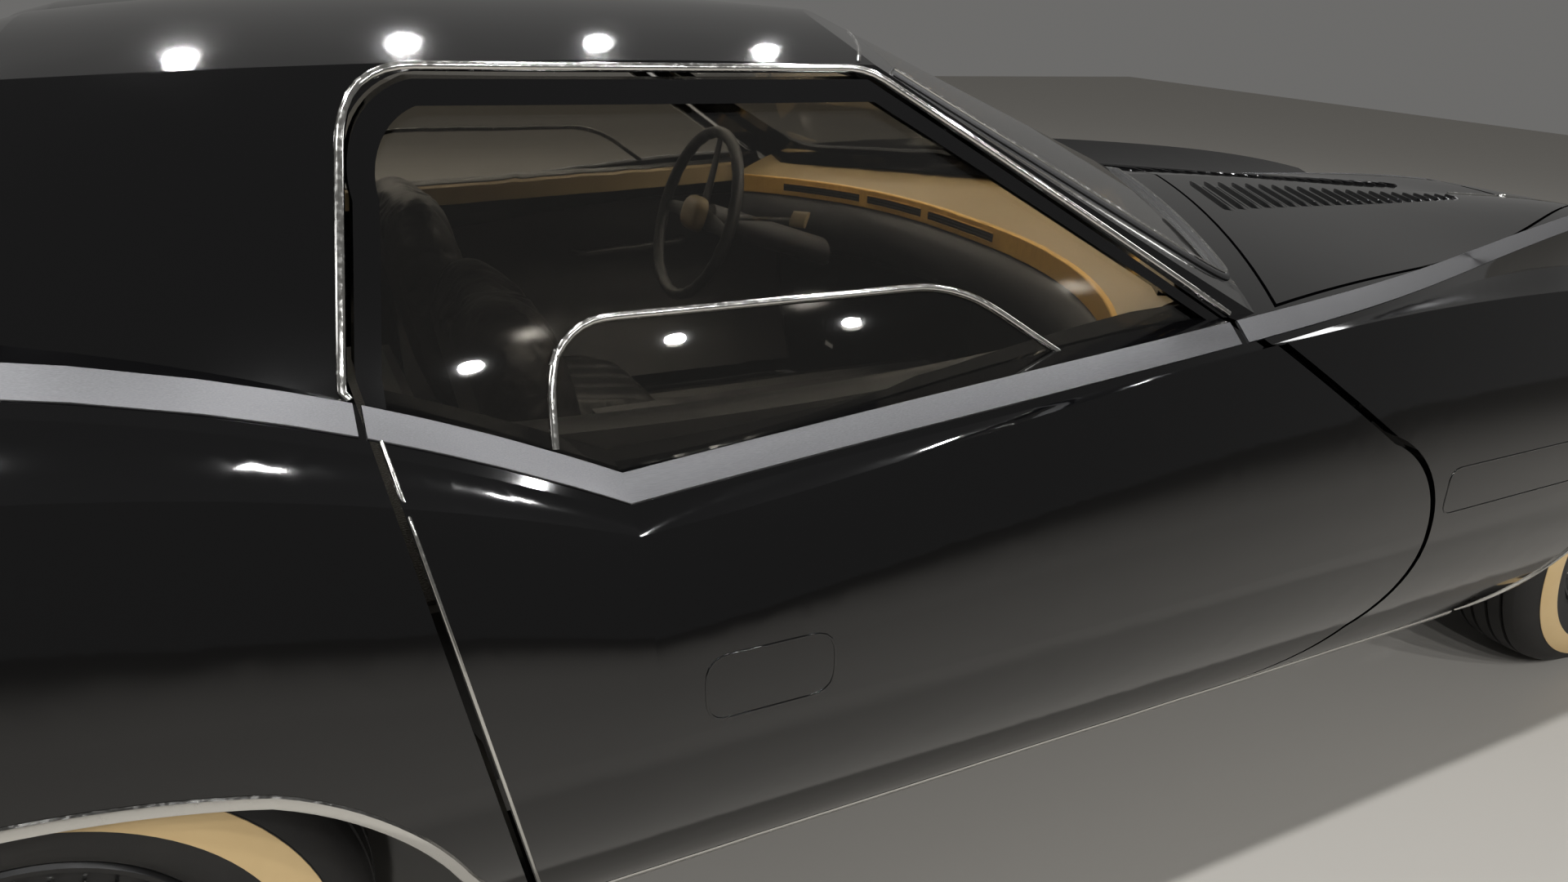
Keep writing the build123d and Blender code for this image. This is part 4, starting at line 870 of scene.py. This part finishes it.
# Boot wells: flat pressed steel floors behind the housings, under the same enamel.
# Each reaches from the boot floor out to 10 mm from the quarter.
WELL_Z, WELL_THICK = 0.400, 0.004
run = np.stack([np.linspace(-1.12, -0.40, 19), np.full(19, WELL_Z)], 1)
rim = seated(side_view(run), (0, -1, 0), "quarter_left")[0] - (0, 0.010, 0)
inner = side_view(run, 0.50)
lower = np.array([0, 0, WELL_THICK])
well = capped(np.stack([inner, rim, rim - lower, inner - lower, inner], 1))
both_sides("boot_well", [well], chassis_enamel, ["car"])

# Lamps, grille and bumpers: moulded lenses with flutes or prisms, extruded bars and plated
# steel. Stainless bezels and bars are sprung in round and over the lenses.
clear_lens = patterned(
    "moulded_clear_lens", ("ShaderNodeTexWave", {"bands_direction": "Y", "Scale": 22.0}), "Fac",
    {"Base Color": linear("#d9dcde"), "Roughness": 0.08, "IOR": 1.49, "Coat Weight": 0.5},
    relief={"Strength": 0.5, "Distance": 0.002},
)
dress(clear_lens, "headlamps")
red_lens = patterned(
    "moulded_red_lens", ("ShaderNodeTexVoronoi", {"Scale": 90.0, "Randomness": 0.0}), "Distance",
    {"Base Color": linear("#8e0d10"), "Roughness": 0.1, "IOR": 1.49, "Coat Weight": 0.6},
    relief={"Strength": 0.5, "Distance": 0.002},
)
dress(red_lens, "tail_lamps")
dress(bright_trim, "front_bumper", "rear_bumper", "grille")


def lamp_frame(w_low, w_high, z_low, z_high, radius=0.014):
    """Rounded rectangle of (w, z) places round a lamp's opening, as a closed line."""
    line = rounded_box(w_low, w_high, z_low, z_high, radius, 0.008)
    return np.stack([np.zeros(len(line)), line[:, 0], line[:, 1]], 1)


for name, frame_line, back, nodes, side_x in (
    ("headlamp_bezel", lamp_frame(0.597, 0.833, 0.587, 0.703), -1, ("fender_left", "nose_panel"), 3.0),
    ("tail_lamp_bezel", lamp_frame(0.247, 0.697, 0.657, 0.743), 1, ("tail_panel", "quarter_left"), -3.0),
):
    line, out = seated(frame_line + (side_x, 0, 0) + np.array([0.5 * back, 0, 0]), (back, 0, 0), *nodes)
    both_sides(name, [bar(line, out, half_round(0.009, 0.005, 0.004))], bright_trim, ["car"])
BARS_W = (0.336, 0.426, 0.515, 0.605)
bars = []
for w_bar in BARS_W:
    upright = np.stack([np.full(9, -3.0), np.full(9, w_bar), np.linspace(0.662, 0.738, 9)], 1)
    line, out = seated(upright + (0.5, 0, 0), (1, 0, 0), "tail_lamps")
    bars.append(bar(line, out, half_round(0.004, 0.003)))
both_sides("tail_lamp_bars", bars, bright_trim, ["car"])

# spear: width and height fall from the rear to the point as 0.12 + 0.88 (1 - t)^0.7
t = np.linspace(0, 1, 16)
spear_line = np.stack([3.612 + 0.085 * t + REAR_AXLE, 0 * t, 1.1 + 0 * t], 1)
line, out = seated(spear_line, (0, 0, -1), "nose_panel")
out[:, 1] = 0
reach = (0.12 + 0.88 * (1 - t) ** 0.7)[:, None, None]
grid = line[:, None] + (carried(line, out, half_round(0.022, 0.010)) - line[:, None]) * reach
piece("nose_spear", [capped(grid)], bright_trim, "car")

# Wheels: crossply-look radials with three rain grooves and a cream sidewall band, on pressed
# steel rims that carry a stamped cover with a bright ring, a dark well and a domed cap.
HALF_TRACK = 0.773
WHEEL_AXLES = {"front": REAR_AXLE + WHEELBASE, "rear": REAR_AXLE}


def turned(section, axle, side, steps=96):
    """A section of (outward, radius) points turned about the axle: each point runs round a
    circle of its own radius."""
    section = np.asarray(section, float)
    a = np.linspace(0, 2 * math.pi, steps + 1)[:, None]
    outward, radius = section[None, :, 0], section[None, :, 1]
    place = np.array([axle, side * HALF_TRACK, WHEEL_CENTRE_Z])
    return place + np.stack([radius * np.cos(a), side * outward + 0 * a, radius * np.sin(a)], 2)


tyre_rubber = grained(
    "tyre_rubber", "#121213", "#262422", {"Scale": 24.0, "Detail": 6.0},
    {"Roughness": 0.62, "IOR": 1.52}, ("ShaderNodeTexNoise", {"Scale": 500.0, "Detail": 3.0}),
    {"Strength": 0.25, "Distance": 0.0004},
)

cream_rubber = grained(
    "aged_cream_sidewall_rubber", "#dcbb84", "#ecd09c", {"Scale": 6.0, "Detail": 5.0},
    {"Roughness": 0.45, "IOR": 1.52},
)

wheel_enamel = patterned(
    "black_wheel_enamel", ("ShaderNodeTexNoise", {"Scale": 40.0, "Detail": 5.0}), "Fac",
    {"Base Color": linear("#0d0d0e"), "IOR": 1.5}, {"To Min": 0.3, "To Max": 0.5},
)

# outer sidewall from the bead to the tread, then the tread with its grooves, mirrored inside
WALL = [
    (0.075, 0.1925), (0.084, 0.197), (0.096, 0.207), (0.105, 0.222), (0.11, 0.24), (0.1118, 0.2545),
    (0.1122, 0.256), (0.1118, 0.27), (0.109, 0.285), (0.104, 0.2995), (0.103, 0.3), (0.096, 0.313),
    (0.087, 0.324), (0.0785, 0.3315), (0.074, 0.3345),
]
TREAD = [
    (0.07, 0.3375), (0.053, 0.341), (0.052, 0.3335), (0.046, 0.3335), (0.045, 0.342), (0.0215, 0.344),
    (0.0205, 0.336), (0.0145, 0.336), (0.0135, 0.3445),
]
HALF_TYRE = WALL + TREAD
TYRE = HALF_TYRE + [(-x, r) for x, r in reversed(HALF_TYRE)] + HALF_TYRE[:1]
BAND = [
    (0.11, 0.256), (0.1127, 0.2562), (0.1127, 0.27), (0.11, 0.285), (0.1052, 0.2985), (0.103, 0.299),
    (0.106, 0.286), (0.109, 0.27), (0.11, 0.256),
]
# pressed cover: a rolled bright ring, and a black dish that rises again to the cap's seat
RING = [
    (0.06, 0.19), (0.079, 0.195), (0.086, 0.1985), (0.09, 0.206), (0.0935, 0.22), (0.095, 0.23),
    (0.093, 0.2345), (0.088, 0.235), (0.084, 0.233), (0.084, 0.225), (0.08, 0.21), (0.058, 0.193),
    (0.06, 0.19),
]
COVER = [
    (0.06, 0.189), (0.076, 0.189), (0.08, 0.185), (0.079, 0.179), (0.056, 0.166), (0.05, 0.156),
    (0.052, 0.143), (0.056, 0.1), (0.06, 0.084), (0.068, 0.08), (0.072, 0.077), (0.079, 0.056),
    (0.084, 0.03), (0.085, 0.0),
]
COVER_BACK = [
    (0.078, 0.0), (0.06, 0.076), (0.052, 0.084), (0.046, 0.156), (0.052, 0.17), (0.06, 0.189),
]
# hub cap, from its edge to its middle and back, and a vane's section as (across, lift)
HUB_CAP = [
    (0.07, 0.078), (0.0755, 0.076), (0.079, 0.064), (0.0845, 0.048), (0.088, 0.026), (0.089, 0.0),
    (0.084, 0.0), (0.074, 0.062), (0.07, 0.078),
]
VANE = [(-0.0022, -0.006), (-0.0016, 0.0), (0.0, 0.0014), (0.0016, 0.0), (0.0022, -0.006), (-0.0022, -0.006)]
SLOTS = 30

for end, axle in WHEEL_AXLES.items():
    for hand, side in (("left", 1), ("right", -1)):
        body, corner_name = f"wheel_{end}_{hand}", f"{end}_{hand}"
        tyre = turned(TYRE, axle, side)
        tyre = piece(f"dressed_tyre_{corner_name}", [tyre], tyre_rubber, body, 30.0)
        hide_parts(f"tyre_{corner_name}")
        piece(f"sidewall_band_{corner_name}", [turned(BAND, axle, side)], cream_rubber, body, 50.0)
        piece(f"cover_ring_{corner_name}", [turned(RING, axle, side)], bright_trim, body)
        dish = turned(COVER + COVER_BACK, axle, side)
        piece(f"cover_dish_{corner_name}", [dish], wheel_enamel, body)
        # vanes: thin bright fins that stand in the black dish, each turned a little on its way out
        a = np.arange(SLOTS) / SLOTS * 2 * math.pi
        t = np.linspace(0, 1, 7)
        radius = 0.098 + 0.052 * t
        height = 0.057 + 0.012 * np.sin(math.pi * t) ** 0.6
        fins = []
        for angle in a:
            spin = angle + 0.10 * t
            ring = []
            for across, lift in VANE:
                turn = spin + across / radius
                x, z = axle + radius * np.cos(turn), WHEEL_CENTRE_Z + radius * np.sin(turn)
                ring.append(np.stack([x, side * (HALF_TRACK + height + lift), z], 1))
            fins.append(capped(np.stack(ring, 1)))
        piece(f"cover_vanes_{corner_name}", fins, bright_trim, body)
        piece(f"hub_cap_{corner_name}", [turned(HUB_CAP, axle, side)], bright_trim, body)
        dress(wheel_enamel, f"wheel_{corner_name}")

# The photograph's camera, and a plain studio: a pale painted floor and soft lamps overhead.
# Lens and angles were solved from the photograph, and the lamps' watts set to match it.
LENS_PIXELS, YAW, PITCH, ROLL = 1325.40, 0.475217868, 0.403086079, -0.0446550246
EYE = Vector((-0.9769, -1.92175, 1.38811))

ahead = Vector((math.sin(YAW) * math.cos(PITCH), math.cos(YAW) * math.cos(PITCH), -math.sin(PITCH)))
level = Vector((math.cos(YAW), -math.sin(YAW), 0.0))
drop = ahead.cross(level)
right = math.cos(ROLL) * level + math.sin(ROLL) * drop
down = -math.sin(ROLL) * level + math.cos(ROLL) * drop
lens = bpy.data.cameras.new("camera")
lens.sensor_width = 36.0
lens.lens = LENS_PIXELS * lens.sensor_width / 1920
camera = bpy.data.objects.new("camera", lens)
bpy.context.scene.collection.objects.link(camera)
turned_rows = [(*row, spot) for row, spot in zip(zip(right, -down, -ahead), EYE)]
camera.matrix_world = Matrix(turned_rows + [(0, 0, 0, 1)])
bpy.context.scene.camera = camera
bpy.context.scene.view_settings.view_transform = "Standard"

floor_paint = new_finish("pale_floor")
coat = add(floor_paint, "ShaderNodeBsdfPrincipled", {"Base Color": linear("#bfbbb4"), "Roughness": 0.6})
add(floor_paint, "ShaderNodeOutputMaterial", {}, [("Surface", coat.outputs[0])])
floor_mesh = bpy.data.meshes.new("studio_floor")
floor_mesh.from_pydata([(-14, -14, 0), (14, -14, 0), (14, 14, 0), (-14, 14, 0)], [], [(0, 1, 2, 3)])
floor_mesh.materials.append(floor_paint)
studio_floor = bpy.data.objects.new("studio_floor", floor_mesh)
bpy.context.scene.collection.objects.link(studio_floor)

world = bpy.data.worlds.new("studio")
world.use_nodes = True
world.node_tree.nodes["Background"].inputs["Color"].default_value = linear("#8e8d8b")
world.node_tree.nodes["Background"].inputs["Strength"].default_value = 0.55
bpy.context.scene.world = world
# rows of small round lamps over the roof and beside the car, as in a gallery
spots = [
    (f"lamp_{row}_{number}", (x, y, 4.2), 0.14, watts)
    for row, y, watts in (
        ("right", -5.2, 34), ("right_top", -1.1, 24), ("left_top", 1.1, 24), ("left", 5.2, 34),
    )
    for number, x in enumerate((-2.8, -1.4, 0.0, 1.4, 2.8))
]
spots += [("lamp_front", (5.6, 0.4, 3.6), 1.2, 30), ("lamp_rear", (-5.6, -0.6, 3.6), 1.2, 30)]
for name, spot, size, watts in spots:
    light = bpy.data.lights.new(name, "AREA")
    light.shape = "DISK"
    light.size = size
    light.energy = watts
    lamp = bpy.data.objects.new(name, light)
    lamp.location = spot
    lamp.rotation_euler = (Vector((0, 0, 0.5)) - Vector(spot)).to_track_quat("-Z", "Y").to_euler()
    bpy.context.scene.collection.objects.link(lamp)
